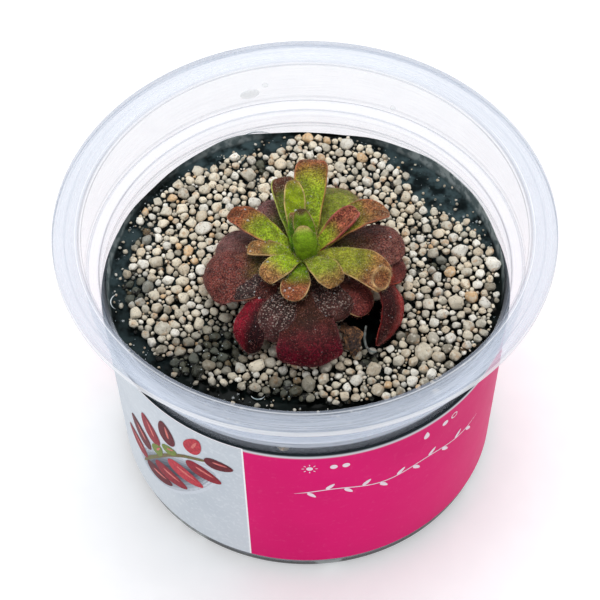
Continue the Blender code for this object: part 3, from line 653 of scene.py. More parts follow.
def fine_blade(leaf, look, steer, seed, relief_spacing=0.95):
    """Rings of points round a blade, with its colours and surface numbers."""
    u = np.linspace(0.0, 1.0, BLADE_STATIONS)
    t = 0.99995 * (1.0 - (1.0 - u) ** 2)
    place, along, length = walk_spine(steer, t)
    _, left = headings(math.radians(leaf.azimuth))
    side = unit(left - along * (along @ left)[:, None])
    face = np.cross(along, side)
    roll = np.radians(leaf.roll) * smoothstep(t / 0.6)[:, None]
    side, face = side * np.cos(roll) + face * np.sin(roll), face * np.cos(roll) - side * np.sin(roll)

    # Each ring runs round a flattened oval: s across the blade, n through it
    phi = TURN * np.arange(BLADE_RING) / BLADE_RING
    s = (np.sign(np.cos(phi)) * np.abs(np.cos(phi)) ** 0.72)[None, :]
    n = (np.sign(np.sin(phi)) * np.abs(np.sin(phi)) ** 0.6)[None, :]
    t = t[:, None]
    reach = half_width(leaf, t) * (1.0 + 0.25 * look.wave * hills(t * length, s * 3.0, 2.6, seed + 7))
    bend = math.radians(leaf.cup) if leaf.cup else 1e-4
    across = reach * np.sin(bend * s) / bend
    lift = reach * (1.0 - np.cos(bend * s)) / bend
    tip_round = np.sqrt(1.0 - np.clip((t - 0.94) / 0.06, 0.0, 1.0) ** 2)
    half = 0.5 * leaf.thick * (0.62 + 0.38 * (1.0 - s * s)) * tip_round
    x, y = t * length, s * reach
    edge = np.minimum((1.0 - np.abs(s)) * reach, (1.0 - t) * length)
    top = smoothstep((n + 0.2) / 0.5)

    lift = lift + look.wave * hills(x, y, 3.2, seed)
    lift = lift + look.wave * 1.6 * np.abs(s) ** 3 * hills(x, 0 * y, 2.2, seed + 3) * smoothstep(t / 0.4)
    lift = lift + 0.22 * (1.0 - smoothstep(edge / 0.9)) * smoothstep(t / 0.3) * tip_round
    pool = lip = np.zeros_like(x + y)
    if look.pocket:
        at, long, wide, depth = look.pocket
        q = np.hypot((x - at * length) / long, y / wide)
        pool = 1.0 - smoothstep((q - 0.35) / 0.6)
        lip = np.exp(-((q - 1.05) / 0.14) ** 2)
        lift = lift - depth * pool + 0.5 * depth * lip
    if look.relief:
        blister = blisters(x + 0 * y, y + 0 * x, relief_spacing, seed + 11)
        inside = smoothstep(edge / 1.2) * smoothstep((t - 0.2) / 0.2)
        lift = lift + look.relief * blister * inside * top

    normal_s = np.cos(bend * s)
    normal_a = -np.sin(bend * s)
    out = (place[:, None, :] + side[:, None, :] * (across + normal_a * half * n)[..., None]
           + face[:, None, :] * (lift + normal_s * half * n)[..., None])

    # Colours from foot to tip, with the tip's colour reaching back along the edges
    patchy = hills(x, y, 2.4, seed + 5)
    turned_share = smoothstep((t + 0.10 * np.abs(s) ** 3 + 0.05 * patchy - look.turn + 0.2) / 0.4)
    rim = (1.0 - smoothstep(edge / 0.38)) * smoothstep((t - 0.12) / 0.3)
    tone = lerp(np.array(look.foot), np.array(look.tip), turned_share[..., None])
    tone = tone * (1.0 + 0.12 * patchy[..., None])
    # A hollow takes on the tip's colour, and in the shallower hollows half of it, as painted shade
    tone = lerp(tone, np.array(look.tip) * (1.0 if look.pocket and look.pocket[3] > 0.5 else 0.5),
                0.8 * pool[..., None])
    # Painted shade: one side of the blade is darkened, and its rim colour fades there too
    if look.side_shade:
        shaded = smoothstep((0.55 - np.sign(look.side_shade) * s) / 0.7) * abs(look.side_shade)
        tone = tone * (1.0 - shaded[..., None])
        rim = rim * (1.0 - shaded)
    rim = np.maximum(rim, 0.8 * lip * (look.pocket[3] > 0.5 if look.pocket else 0.0))
    tone = lerp(tone, np.array(look.rim), 0.85 * (rim * (0.35 + 0.65 * top))[..., None])
    fold = smoothstep((t - 0.86) / 0.1 if leaf.thick < 1.25 else (t - 0.78) / 0.24)[..., None]
    tone = lerp(lerp(np.array(look.under), np.array(look.rim) * 0.9, fold), tone, top[..., None])
    # Painted shade: the tone darkens towards the blade's foot, where it tucks in at the crown
    root = 1.0 - 0.45 * (1.0 - smoothstep(t / 0.3))
    tone = np.clip(tone * root[..., None], 0.0, 1.0)
    stipple = look.stipple * (0.65 + 0.35 * turned_share) * (1.0 - rim) * (0.6 + 0.4 * top)
    # Painted highlight on the blisters' crests: on the upper face, away from the edges and the foot, fading
    # at the tip
    frost = look.frost * smoothstep((t - 0.3) / 0.25) * smoothstep(edge / 0.8) * top
    frost = frost * (1.0 - 0.8 * smoothstep((t - 0.78) / 0.14))
    numbers = {"tone": tone, "stipple": np.broadcast_to(stipple, tone.shape[:2]),
               "frost": np.broadcast_to(frost, tone.shape[:2])}
    return out, numbers, half_width(leaf, t)[:, 0]


def blade_part(rings, numbers):
    """A closed mesh part from a blade's rings, with a point at its foot and its tip."""
    stations, ring = rings.shape[:2]
    points = np.concatenate([rings.reshape(-1, 3), [rings[0].mean(0), rings[-1].mean(0)]])
    attributes = {}
    for key, values in numbers.items():
        flat = values.reshape(stations * ring, -1)
        flat = np.concatenate([flat, flat[:1], flat[-1:]])
        attributes[key] = flat if flat.shape[1] == 3 else flat[:, 0]
    return points, tube_faces(stations, ring), attributes


def crown_post(corners, radius, segments, tone):
    """A part turned on the crown's axis from a profile that starts and ends there."""
    section = np.array([point for three in zip(corners, corners[1:], corners[2:])
                        for point in corner_arc(*three, radius, 0.45)])
    rings = round_rings(section[:, :1], section[:, 1:], segments)
    ends = [(0.0, 0.0, corners[0][1]), (0.0, 0.0, corners[-1][1])]
    points = np.concatenate([rings.reshape(-1, 3), ends]) + np.array([*CROWN_AXIS, 0.0])
    count = len(points)
    return points, tube_faces(len(section), segments), {
        "tone": np.tile(np.array(tone), (count, 1)), "stipple": np.full(count, 0.2), "frost": np.zeros(count)}


def crown_part(radius, low, high, tone):
    depth = high - low
    return crown_post([(0.0, low), (0.75 * radius, low), (radius, low + 0.35 * depth),
                       (0.85 * radius, low + 0.8 * depth), (0.45 * radius, high), (0.0, high)], 0.5, 40, tone)


def stem_part():
    low, high = STEM_FOOT, SKIRT_CROWN[1] + 1.0
    return crown_post([(0.0, low), (STEM_RADIUS, low), (STEM_RADIUS, high), (0.0, high)], 0.6, 32, UMBER)


def make_rosette(name, leaves, extra, material, slot, node, first_seed):
    """One mesh of all the blades of a node; the blades' rings are given back too."""
    parts, blades = list(extra), []
    for number, (leaf, look) in enumerate(leaves):
        rings, numbers, width = fine_blade(leaf, look, spine_of(leaf), first_seed + 20 * number)
        parts.append(blade_part(rings, numbers))
        blades.append((leaf, look, rings, width))
    add_piece(name, parts, material, slot, node)
    return blades


def make_withered():
    steer = [np.array(point) for point in WITHERED_SPINE]
    rings, numbers, _ = fine_blade(WITHERED, WITHERED_LOOK, steer, 901)
    # Crumple it: folds that run across the blade and ragged edges
    spine = rings.mean(axis=1, keepdims=True)
    along = 6.0 * np.arange(BLADE_STATIONS)[:, None] / BLADE_STATIONS
    around = 2.5 * np.cos(TURN * np.arange(BLADE_RING) / BLADE_RING)[None, :]
    crumple = 0.26 * hills(along, around, 0.7, 31) + 0.16 * hills(along, around, 0.35, 32)
    rings = spine + (rings - spine) * (1.0 + crumple[..., None])
    rings[..., 2] += 0.35 * hills(along, around, 0.8, 33)
    add_piece("withered_leaf_fine", [blade_part(rings, numbers)], withered_material(), "withered_leaf",
              "withered_leaf")
    return rings


STRAND_PATH = [(11.9, -15.2, 52.6), (11.6, -16.6, 52.2), (11.5, -18.0, 51.4), (11.9, -19.4, 50.9),
               (12.8, -20.2, 50.6), (13.9, -20.3, 50.7)]


def make_strand():
    """A thin, flattened, dried strand that leans from the skirt down to the grains."""
    path = softened(STRAND_PATH, 60, 12)
    along = unit(np.gradient(path, axis=0))
    side = unit(np.cross(along, [0.0, -0.5, 0.85]))
    wide = 0.27 * (1.0 - 0.6 * np.abs(np.linspace(-0.6, 1.0, 60)) ** 2)[:, None]
    skin = blotched_material("withered_strand_skin", srgb(96, 104, 100), srgb(58, 56, 50), 1.2, 0.4, 0.6,
                             roughness=0.5)
    add_piece("withered_strand", [tube(path, side, np.cross(side, along), wide, 0.3 * wide, 12)], skin,
              "withered_leaf")


# Gland hairs and dew

def surface_spots(rings, width, count, draw):
    """Random points on a blade's upper face with their outward directions."""
    ring = rings.shape[1]
    station_weight = np.maximum(width, 0.05)[2:-3]
    station_weight = station_weight * np.linalg.norm(np.diff(rings.mean(1), axis=0), axis=1)[2:-2]
    i = draw.choice(np.arange(2, rings.shape[0] - 3), count, p=station_weight / station_weight.sum())
    across = draw.uniform(0.04, 0.96, count)
    # The ring's angle that lies at a share across the blade
    j = ring / TURN * np.arccos(np.clip(np.sign(1 - 2 * across)
                                        * np.abs(1 - 2 * across) ** (1 / 0.72), -1, 1))
    j0 = np.clip(j.astype(int), 1, ring // 2 - 2)
    a, b = draw.random(count)[:, None], (j - j0).clip(0, 1)[:, None]
    here, beside = rings[i, j0], rings[i, j0 + 1]
    next_here, next_beside = rings[i + 1, j0], rings[i + 1, j0 + 1]
    spot = lerp(lerp(here, beside, b), lerp(next_here, next_beside, b), a)
    normal = np.cross(next_here - here, beside - here)
    centre = rings[i].mean(1)
    normal *= np.sign(((spot - centre) * normal).sum(1))[:, None]
    normal /= np.linalg.norm(normal, axis=1)[:, None] + 1e-9
    return spot, normal


def edge_spots(rings, count, draw):
    """Random points along a blade's two edges, pointing outwards."""
    i = draw.integers(6, rings.shape[0] - 4, count)
    j = np.where(draw.random(count) < 0.5, 0, rings.shape[1] // 2)
    spot = rings[i, j]
    return spot, unit(spot - rings[i].mean(1))


def hair_parts(spots, normals, draw, length, bead):
    """Three-sided stalks, each with a six-faced bead at its end."""
    count = len(spots)
    tall = length * draw.uniform(0.6, 1.25, count)[:, None]
    lean = unit(normals + 0.25 * draw.normal(size=(count, 3)))
    side = unit(np.cross(lean, [0.31, 0.52, 0.79]))
    other = np.cross(lean, side)
    around = [side * math.cos(a) + other * math.sin(a) for a in (0.0, TURN / 3, 2 * TURN / 3)]
    end = spots + lean * tall
    size = bead * draw.uniform(0.7, 1.3, count)[:, None]
    rows = [spots + 0.35 * size * way - 0.03 * lean for way in around]
    rows += [end, end + lean * size, end - lean * size] + [end + size * way for way in around]
    pattern = [(0, 1, 3), (1, 2, 3), (2, 0, 3), (2, 1, 0)]
    for a, b in ((6, 7), (7, 8), (8, 6)):
        pattern += [(4, a, b), (5, b, a)]
    faces = (np.array(pattern)[None] + (np.arange(count) * len(rows))[:, None, None]).reshape(-1, 3)
    return np.stack(rows, axis=1).reshape(-1, 3), faces.tolist()


def make_hairs(name, blades, per_mm2, stalk, bead, slot, seed):
    """Gland hairs over the upper faces of blades, and longer and finer ones along their edges."""
    draw = np.random.default_rng(seed)
    material = blotched_material(name + "_hair", stalk, bead, 1.2, 0.4, 0.6, roughness=0.2,
                                 specular_ior_level=0.7)
    parts = []
    for leaf, _, rings, width in blades:
        extent = float(np.linalg.norm(np.diff(rings.mean(1), axis=0), axis=1).sum())
        count = int(per_mm2 * extent * leaf.width * 0.8)
        parts.append(hair_parts(*surface_spots(rings, width, count, draw), draw, HAIR_LENGTH, 0.055))
        count = int(EDGE_HAIRS_PER_MM * extent)
        parts.append(hair_parts(*edge_spots(rings, count, draw), draw, 1.2 * HAIR_LENGTH, 0.045))
    add_piece(name + "_gland_hairs", parts, material, slot)


def unit_ball(subdivisions):
    """Points and faces of a ball of radius 1 made of even triangles."""
    work = bmesh.new()
    bmesh.ops.create_icosphere(work, subdivisions=subdivisions, radius=1.0)
    points = np.array([vert.co for vert in work.verts])
    faces = [[vert.index for vert in face.verts] for face in work.faces]
    work.free()
    return points, faces


def make_dew(blades):
    """Drops of slime and water that sit on the upper faces."""
    draw = np.random.default_rng(77)
    ball, ball_faces = unit_ball(2)
    parts = []
    for _, look, rings, width in blades:
        count = int(14 * look.dew)
        if not count:
            continue
        for spot, normal in zip(*surface_spots(rings, width, count, draw)):
            size = draw.choice([0.12, 0.17, 0.28], p=[0.5, 0.38, 0.12])
            flat = ball * size
            flat = flat - np.outer(flat @ normal, normal) * 0.35
            parts.append((flat + spot + normal * 0.4 * size, ball_faces))
    add_piece("dew_drops", parts, water_material(), "green_leaf")


# Pumice bed

def shore(angle):
    """The bed's reach at an angle, eased between the listed azimuths."""
    marks = sorted(BED_SHORE)
    degrees = math.degrees(angle) % 360.0
    for mark, after in zip(marks, marks[1:] + [marks[0] + 360]):
        if mark <= degrees < after:
            share = float(smoothstep((degrees - mark) / (after - mark)))
            return BED_SHORE[mark] + share * (BED_SHORE[after % 360] - BED_SHORE[mark])
    return BED_SHORE[marks[0]]


def body_radius(height):
    """Outer radius of the tapered cup body at a height."""
    share = (height - BASE_EDGE_HEIGHT) / (BODY_TOP_HEIGHT - BASE_EDGE_HEIGHT)
    return BASE_RADIUS + share * (BODY_TOP_RADIUS - BASE_RADIUS)


def inner_radius(height):
    """Inner radius of the cup body at a height."""
    foot = FLOOR_TOP + 1.2
    share = (height - foot) / (LEDGE_HEIGHT - 0.9 - foot)
    return BASE_RADIUS - WALL + share * (BODY_TOP_RADIUS - BASE_RADIUS)


GRAIN_TINTS = [
    (srgb(236, 224, 200), 0.34), (srgb(222, 206, 180), 0.22), (srgb(206, 198, 180), 0.15),
    (srgb(246, 241, 228), 0.19), (srgb(162, 154, 136), 0.06), (srgb(226, 190, 146), 0.04),
]
# Places where grains have sunk in the gel and look wet and teal: (x, y, radius)
SUNKEN = [(-16.5, -17.0, 9.5), (-4.0, -30.0, 9.5), (-9.0, 30.0, 3.0), (-35.0, -2.0, 6.0),
          (12.5, -20.5, 3.5), (-24.0, -22.0, 7.0), (27.0, 3.0, 3.0), (-34.0, 12.0, 4.0)]
# The bare hollow under the front right leaves, down to wet gel: (x, y, radius)
HOLLOW = (13.0, -11.5, 6.4)
# A grain that shows through the clear wall at the front: (x, y, z)
WALL_GRAIN = (-4.4, -39.05, 46.3)
# Grain radii in each layer: (smallest, largest, most grains tried)
DEEP_GRAINS = [(0.9, 1.3, 500), (0.5, 0.9, 800)]
TOP_GRAINS = [(1.5, 2.0, 26), (1.1, 1.5, 200), (0.8, 1.1, 640), (0.5, 0.8, 1000), (0.25, 0.5, 1100)]
STRAY_GRAINS = [(0.5, 1.0, 16), (0.14, 0.4, 260)]
# Grains past this radius get the finer mesh
FINE_GRAIN_RADIUS = 0.86
GRAIN_SHAPES = 26


def grain_shapes(subdivisions, seed):
    """Rounded pebbles of radius about 1, each worn flat on a few sides."""
    draw = np.random.default_rng(seed)
    ball, faces = unit_ball(subdivisions)
    shapes = []
    for number in range(GRAIN_SHAPES):
        points = ball * (1.0 + 0.10 * hills(ball[:, 0] * 2 + ball[:, 2], ball[:, 1] * 2 - ball[:, 2],
                                            0.9, seed + number))[:, None]
        for _ in range(13):
            way = unit(draw.normal(size=3))
            over = np.clip(points @ way - draw.uniform(0.62, 0.92), 0.0, None)
            points = points - 0.92 * over[:, None] * way
        points = points * (1.0 + 0.05 * hills(points[:, 0] + points[:, 2], points[:, 1] - points[:, 2],
                                              0.28, seed + 50 + number))[:, None]
        points *= np.array([1.0, draw.uniform(0.78, 1.0), draw.uniform(0.66, 0.9)])
        shapes.append(points)
    return shapes, faces


def scatter(sizes, inside, draw, tries, crowd):
    """(x, y, radius) of grains, largest first, with neighbours at least crowd of their radii apart."""
    radii = np.concatenate([draw.uniform(low, high, most) for low, high, most in sizes])
    kept = np.zeros((len(radii), 3))
    count = 0
    for radius in sorted(radii, reverse=True):
        for _ in range(tries):
            angle = draw.uniform(0.0, TURN)
            distance = BODY_TOP_RADIUS * math.sqrt(draw.random())
            x, y = distance * math.cos(angle), distance * math.sin(angle)
            if not inside(x, y, radius):
                continue
            gap = np.hypot(kept[:count, 0] - x, kept[:count, 1] - y)
            if (gap > crowd * (kept[:count, 2] + radius)).all():
                kept[count] = x, y, radius
                count += 1
                break
    return kept[:count]


def on_bed(x, y, radius):
    distance = math.hypot(x, y)
    ragged = 0.9 * math.sin(9.0 * math.atan2(y, x) + 2.0) * math.sin(0.9 * x - 0.7 * y)
    return (distance + 0.6 * radius < min(shore(math.atan2(y, x)) + ragged, inner_radius(GEL_TOP) - 0.4)
            and math.hypot(x - HOLLOW[0], y - HOLLOW[1]) > HOLLOW[2]
            and math.hypot(x - CROWN_AXIS[0], y - CROWN_AXIS[1]) > STEM_RADIUS + radius + 0.3)


def off_bed(x, y, radius):
    distance = math.hypot(x, y)
    return shore(math.atan2(y, x)) + 0.5 < distance < inner_radius(GEL_TOP) - radius - 0.6


def sunk(x, y):
    return max(float(1.0 - smoothstep(math.hypot(x - a, y - b) / size)) for a, b, size in SUNKEN)


def make_grains(blade_rings):
    """Grains in two layers and some strays, kept clear of every blade over them."""
    draw = np.random.default_rng(BED_SEED)
    shine, glints = np.random.default_rng(9), []
    cloud = np.concatenate([rings.reshape(-1, 3) for rings in blade_rings])
    cloud = cloud[cloud[:, 2] < 57.0]
    tree = KDTree(len(cloud))
    for index, (x, y, _) in enumerate(cloud):
        tree.insert((x, y, 0.0), index)
    tree.balance()
    fine, coarse = grain_shapes(3, 100), grain_shapes(2, 200)
    tints, weights = [np.array(t) for t, _ in GRAIN_TINTS], np.array([w for _, w in GRAIN_TINTS])
    groups = {"front": [], "back": [], "deep": []}

    def add(x, y, radius, height, deep, damp=1.0):
        near = tree.find_range((x, y, 0.0), radius + 0.25)
        if near:
            ceiling = min(cloud[index][2] for _, index, _ in near) - 0.15
            height = min(height, ceiling - 0.75 * radius)
        if height + 0.6 * radius < GEL_TOP - 0.2:
            return
        shapes, faces = fine if radius > FINE_GRAIN_RADIUS and not deep else coarse
        turn = (Matrix.Rotation(draw.uniform(0, TURN), 3, "Z")
                @ Matrix.Rotation(draw.normal() * 0.45, 3, "X"))
        points = shapes[draw.integers(len(shapes))] @ np.array(turn).T * radius + np.array([x, y, height])
        tint = tints[draw.choice(len(tints), p=weights / weights.sum())] * draw.uniform(0.82, 1.16)
        # The deep layer is tinted near black: painted shade in the gaps under the top grains, together with
        # the gel that wets them. The top grains are paler towards the back.
        tint = tint * (0.06 if deep else lerp(0.92, 1.2, float(smoothstep((y + 30.0) / 50.0))))
        wet = damp * np.clip(1.7 - (points[:, 2] - GEL_TOP) / 0.9, 0.0, 1.0)
        wet = np.maximum(wet, damp * min(1.0, 1.5 * sunk(x, y)))
        group = "deep" if deep else "front" if y < CROWN_AXIS[1] else "back"
        groups[group].append((points, faces, {"tint": np.tile(tint, (len(points), 1)), "wet": wet}))
        # Painted glints: white beads set on the tops of some grains, most of them where grains are wet
        if not deep and shine.random() < 0.10 + 0.85 * damp * sunk(x, y):
            way = np.array([0.0, -0.3, 1.0]) + 0.55 * shine.normal(size=3)
            glints.append(points[np.argmax(points @ way)])

    for x, y, radius in scatter(DEEP_GRAINS, on_bed, draw, 12, 0.95):
        add(x, y, radius, GEL_TOP + draw.uniform(-0.1, 0.35), True)
    for x, y, radius in scatter(TOP_GRAINS, on_bed, draw, 30, 0.85):
        lift = 1.15 + 0.25 * math.sin(0.5 * x + 1.0) * math.sin(0.45 * y) - 1.0 * sunk(x, y)
        add(x, y, radius, GEL_TOP + lift + 0.35 * radius * draw.uniform(0.2, 1.0), False)
    for x, y, radius in scatter(STRAY_GRAINS, off_bed, draw, 6, 1.5):
        add(x, y, radius, GEL_TOP + 0.25 + 0.3 * radius, False, 0.25)
    add(WALL_GRAIN[0], WALL_GRAIN[1], 1.7, WALL_GRAIN[2], False, 0.0)

    material = pumice_material()
    for group, parts in groups.items():
        replaced = ["pumice_granules"] if group == "back" else []
        add_piece("pumice_grains_" + group, parts, material, "pumice", *replaced)
    # More painted glints: white beads on the bare gel near the wall
    edge = inner_radius(GEL_TOP) - 0.8
    for _ in range(170):
        turn = shine.uniform(0.0, TURN)
        reach = lerp(min(shore(turn), edge - 0.5), edge, shine.random())
        glints.append(np.array([reach * math.cos(turn), reach * math.sin(turn), GEL_TOP + 0.02]))
    bead, faces = unit_ball(1)
    parts = []
    for spot in glints:
        size = shine.choice([0.07, 0.11, 0.17], p=[0.5, 0.35, 0.15])
        parts.append((bead * size * [1.0, shine.uniform(0.6, 1.0), 0.6] + spot, faces))
    add_piece("wet_glints", parts, glint_material(), "black_gel")


# Gel, drops and bubbles

# Azimuths where the skin creeps up most, with how far that spreads and by how much
GEL_CREEPS = [(38.0, 24.0, 2.3), (112.0, 14.0, 1.2), (3.0, 12.0, 0.8), (180.0, 24.0, 1.5)]


def creep(angle):
    """How far the gel's thin skin has crept up the wall at an angle, in millimetres."""
    degrees = math.degrees(angle) % 360.0
    rise = 0.7 + 0.35 * math.sin(3 * angle + 0.6) + 0.25 * math.sin(7 * angle) + 0.15 * math.sin(17 * angle)
    for middle, spread, amount in GEL_CREEPS:
        away = (degrees - middle + 180.0) % 360.0 - 180.0
        rise += amount * math.exp(-(away / spread) ** 2)
    return max(rise, 0.3)


# Drops on the stacking wall and the ledge: (azimuth, height, half width, half height)
WALL_DROPS = [(105.0, 58.6, 2.1, 1.3), (100.5, 60.4, 0.7, 0.5), (64.0, 57.0, 0.6, 0.5)]
# Thin ridges where the wet skin folds, painted white as highlights: (x, y, radius, first and last angle)
GLINT_ARCS = [(-9.4, 34.6, 6.0, 66.0, 128.0), (-9.6, -27.8, 1.5, 200.0, 330.0),
              (-3.2, -25.6, 1.4, 195.0, 300.0), (4.2, -25.8, 1.6, 100.0, 190.0),
              (-19.8, -29.2, 3.0, 230.0, 300.0), (-37.2, -4.6, 2.2, 120.0, 240.0)]
# Azimuths where the bare gel looks teal, with how far that spreads and how strongly
GEL_TEAL_AZIMUTHS = [(40.0, 34.0, 1.0), (112.0, 22.0, 1.0), (168.0, 26.0, 0.6), (205.0, 16.0, 0.35)]
GEL_RIM_GAP = 0.05


def make_gel():
    """The gel: a body that fills the cup, with an uneven top that creeps up the wall."""
    low = FLOOR_TOP + GAP
    angle = TURN * np.arange(GEL_SEGMENTS) / GEL_SEGMENTS
    level = np.ones(GEL_SEGMENTS)
    up_wall = np.array([creep(a) for a in angle])
    # Each ring's radii, heights and thinness: flat middle, uneven top, skin up the wall, side, foot
    rings = [(radius * level, (GEL_TOP - 0.3) * level, 0.0 * level) for radius in np.linspace(3.0, 30.0, 14)]
    wall = inner_radius(GEL_TOP) - GAP
    for share in np.linspace(0.0, 1.0, 36)[1:]:
        radius = 30.0 + share * (wall - 0.9 - 30.0)
        dip = 0.10 * np.sin(5 * angle + 9 * share) + 0.12 * np.sin(2 * angle - 4 * share)
        rings.append((radius * level, GEL_TOP - 0.15 + dip * share, 0.0 * level))
    edge = rings[-1][1]
    crept = smoothstep((up_wall - 0.5) / 2.2)
    for share in np.linspace(0.0, 1.0, 22)[1:]:
        height = edge + (GEL_TOP + up_wall - edge) * share ** 1.8
        outer = inner_radius(height) - GEL_RIM_GAP
        rings.append((lerp(outer - 0.9, outer - 0.02, share ** 0.42), height,
                      smoothstep((share - 0.12) / 0.5) * crept))
    for share in np.linspace(0.0, 1.0, 40):
        height = lerp(GEL_TOP + up_wall - 0.12, low, share)
        outer = inner_radius(height) - GEL_RIM_GAP
        away = np.hypot(outer * np.cos(angle) - WALL_GRAIN[0], outer * np.sin(angle) - WALL_GRAIN[1])
        dent = (1.0 - smoothstep(np.hypot(away, height - WALL_GRAIN[2]) / 3.2)) * 2.6
        rings.append((outer - dent, height, smoothstep((height - GEL_TOP) / 1.2) * crept))
    rings.append((rings[-1][0] - 0.6, (low - 0.1) * level, 0.0 * level))
    radii, heights, thin = (np.stack(column) for column in zip(*rings))
    caps = [(0.0, 0.0, GEL_TOP - 0.3), (0.0, 0.0, low - 0.1)]
    points = np.concatenate([round_rings(radii, heights, GEL_SEGMENTS).reshape(-1, 3), caps])
    faces = [tuple(reversed(face)) for face in tube_faces(len(rings), GEL_SEGMENTS)]
    degrees = np.degrees(np.arctan2(points[:, 1], points[:, 0])) % 360.0
    teal = [amount * smoothstep(1.3 - np.abs((degrees - middle + 180.0) % 360.0 - 180.0) / spread)
               for middle, spread, amount in GEL_TEAL_AZIMUTHS]
    bare = np.max(teal, axis=0) * smoothstep((points[:, 2] - GEL_TOP + 1.2) / 0.8)
    attributes = {"thin": np.append(thin.ravel(), [0.0, 0.0]), "bare": bare}
    add_piece("black_culture_gel", [(points, faces, attributes)], gel_material(), "black_gel", "growth_gel")


def make_drops_and_specks():
    """Drops on the cup's inner wall, bubbles and crumbs on the bare gel, and ridges of its skin painted white
    as highlights.
    """
    draw = np.random.default_rng(31)
    ball, faces = unit_ball(3)
    parts = []
    for azimuth, height, wide, tall in WALL_DROPS:
        out, side = headings(math.radians(azimuth))
        radius = lerp(STACK_WALL[0], STACK_WALL[1], (height - LEDGE_HEIGHT) / 10.0) - 0.78
        blob = (np.outer(ball[:, 0] * wide, side) + np.outer(ball[:, 1] * 0.5, out)
                + np.outer(ball[:, 2] * tall, [0.0, 0.0, 1.0]))
        parts.append((blob + out * radius + [0.0, 0.0, height], faces))
    small, small_faces = unit_ball(2)
    for _ in range(70):
        angle, size = draw.uniform(0, TURN), draw.choice([0.1, 0.16, 0.3], p=[0.5, 0.35, 0.15])
        outer = inner_radius(GEL_TOP) - 1.4
        distance = outer - (outer - min(shore(angle) + 0.5, outer)) * draw.random()
        flat = small * [size, size, 0.6 * size]
        parts.append((flat + [distance * math.cos(angle), distance * math.sin(angle), GEL_TOP], small_faces))
    add_piece("drops_and_bubbles", parts, water_material(), "black_gel")
    arcs = []
    thick = 0.13 * np.sin(np.linspace(0.15, math.pi - 0.15, 24))[:, None]
    for x, y, radius, first, last in GLINT_ARCS:
        turns = np.radians(np.linspace(first, last, 24))
        out = np.stack([np.cos(turns), np.sin(turns), 0 * turns], axis=1)
        middle = radius * out + [x, y, GEL_TOP + 0.25]
        arcs.append(tube(middle, out, np.tile([0.0, 0.0, 1.0], (24, 1)), thick, thick, 8))
    add_piece("painted_glint_arcs", arcs, glint_material(), "black_gel")


# Cup

# Painted lines of light and shade at the plastic's bends: (radius, height, width, darkness);
# grey painted shade above 0, pale painted highlight below 0, and above 1 the foot painted
# as dark as the gel that shows through it
CUP_LINES = [
    (RIM_RADIUS, CUP_HEIGHT - LIP_DEPTH, 0.34, 1.0), (47.5, CUP_HEIGHT - 0.8, 0.3, 0.45),
    (44.85, 65.1, 0.5, 0.8), (45.42, 65.36, 0.24, -0.8), (44.3, 64.6, 0.28, 0.9), (43.5, 54.3, 0.3, 0.25),
    (44.25, LEDGE_HEIGHT + 0.7, 0.6, 0.35), (44.25, LEDGE_HEIGHT - 0.3, 0.24, -1.0),
    (41.5, LEDGE_HEIGHT - 0.45, 0.4, 1.0), (BODY_TOP_RADIUS, 49.8, 0.35, -1.0), (41.25, 49.1, 0.26, 0.8),
    (41.35, BODY_TOP_HEIGHT + 1.2, 0.3, 0.4), (BASE_RADIUS, 1.4, 3.4, 2.0),
]


def plastic_look(radius, height):
    """How dense the plastic looks at a point of the cup's section, and the tone of its painted lines of light
    and shade.
    """
    flange = float(smoothstep((radius - 44.9) / 0.4) * smoothstep((height - 62.0) / 2.0))
    # The lip is denser and painted pale: a painted highlight on its face
    lip = float(smoothstep((radius - 49.86) / 0.1))
    veil = 0.15 + 0.22 * flange + 0.25 * lip
    tone = -1.0 * lip
    for line_radius, line_height, width, darkness in CUP_LINES:
        away = math.hypot(radius - line_radius, height - line_height)
        strength = float(1.0 - smoothstep(away / width))
        veil += 0.45 * abs(darkness) * strength
        tone = lerp(tone, darkness, strength)
    return min(veil, 0.92), tone


def front_light_veil(section, angle):
    """Extra veil on the body wall above the gel, at the front alone: painted light that makes the front of
    the wall paler.
    """
    height = section[:, 1]
    band = smoothstep((height - 47.9) / 0.4) * (1.0 - smoothstep((height - 53.4) / 0.4))
    return 0.5 * np.outer(band, smoothstep((-0.2 - np.sin(angle)) / 0.5)).ravel()


def make_cup():
    """The clear cup in two pieces: the frosted flange with its stacking wall, and the body."""
    flange = [
        (43.45, LEDGE_HEIGHT + 0.2), (44.15, 64.2), (44.45, 65.0), (47.2, CUP_HEIGHT),
        (49.6, CUP_HEIGHT), (RIM_RADIUS, CUP_HEIGHT - 0.3), (RIM_RADIUS, CUP_HEIGHT - LIP_DEPTH),
        (49.25, CUP_HEIGHT - LIP_DEPTH), (49.25, CUP_HEIGHT - 0.8), (47.5, CUP_HEIGHT - 0.8),
        (45.0, 64.2), (44.95, 63.6), (44.25, LEDGE_HEIGHT - 0.2),
    ]
    make_ring("flange", flange, 0.2, "cup")
    body = [
        (43.45, LEDGE_HEIGHT + 0.2), (43.2, LEDGE_HEIGHT), (41.6, LEDGE_HEIGHT - 0.3),
        *((inner_radius(height), height) for height in (52.6, BODY_TOP_HEIGHT, 47.0, 6.0, 3.2)),
        (36.6, FLOOR_TOP), (30.0, FLOOR_TOP), (0.0, FLOOR_TOP),
        (0.0, FLOOR_TOP - WALL), (FOOT_RING[0] - 0.4, FLOOR_TOP - WALL), (FOOT_RING[0], 0.3),
        (FOOT_RING[0] + 0.5, 0.0), (FOOT_RING[1] - 0.5, 0.0), (FOOT_RING[1], 0.3),
        (BASE_RADIUS - 0.5, 0.7), (BASE_RADIUS, BASE_EDGE_HEIGHT), (body_radius(47.0), 47.0),
        (BODY_TOP_RADIUS, BODY_TOP_HEIGHT), (41.5, 52.4), (42.4, 53.2), (44.0, LEDGE_HEIGHT - 0.5),
        (44.25, LEDGE_HEIGHT - 0.2),
    ]
    make_ring("body", body, 0.08)


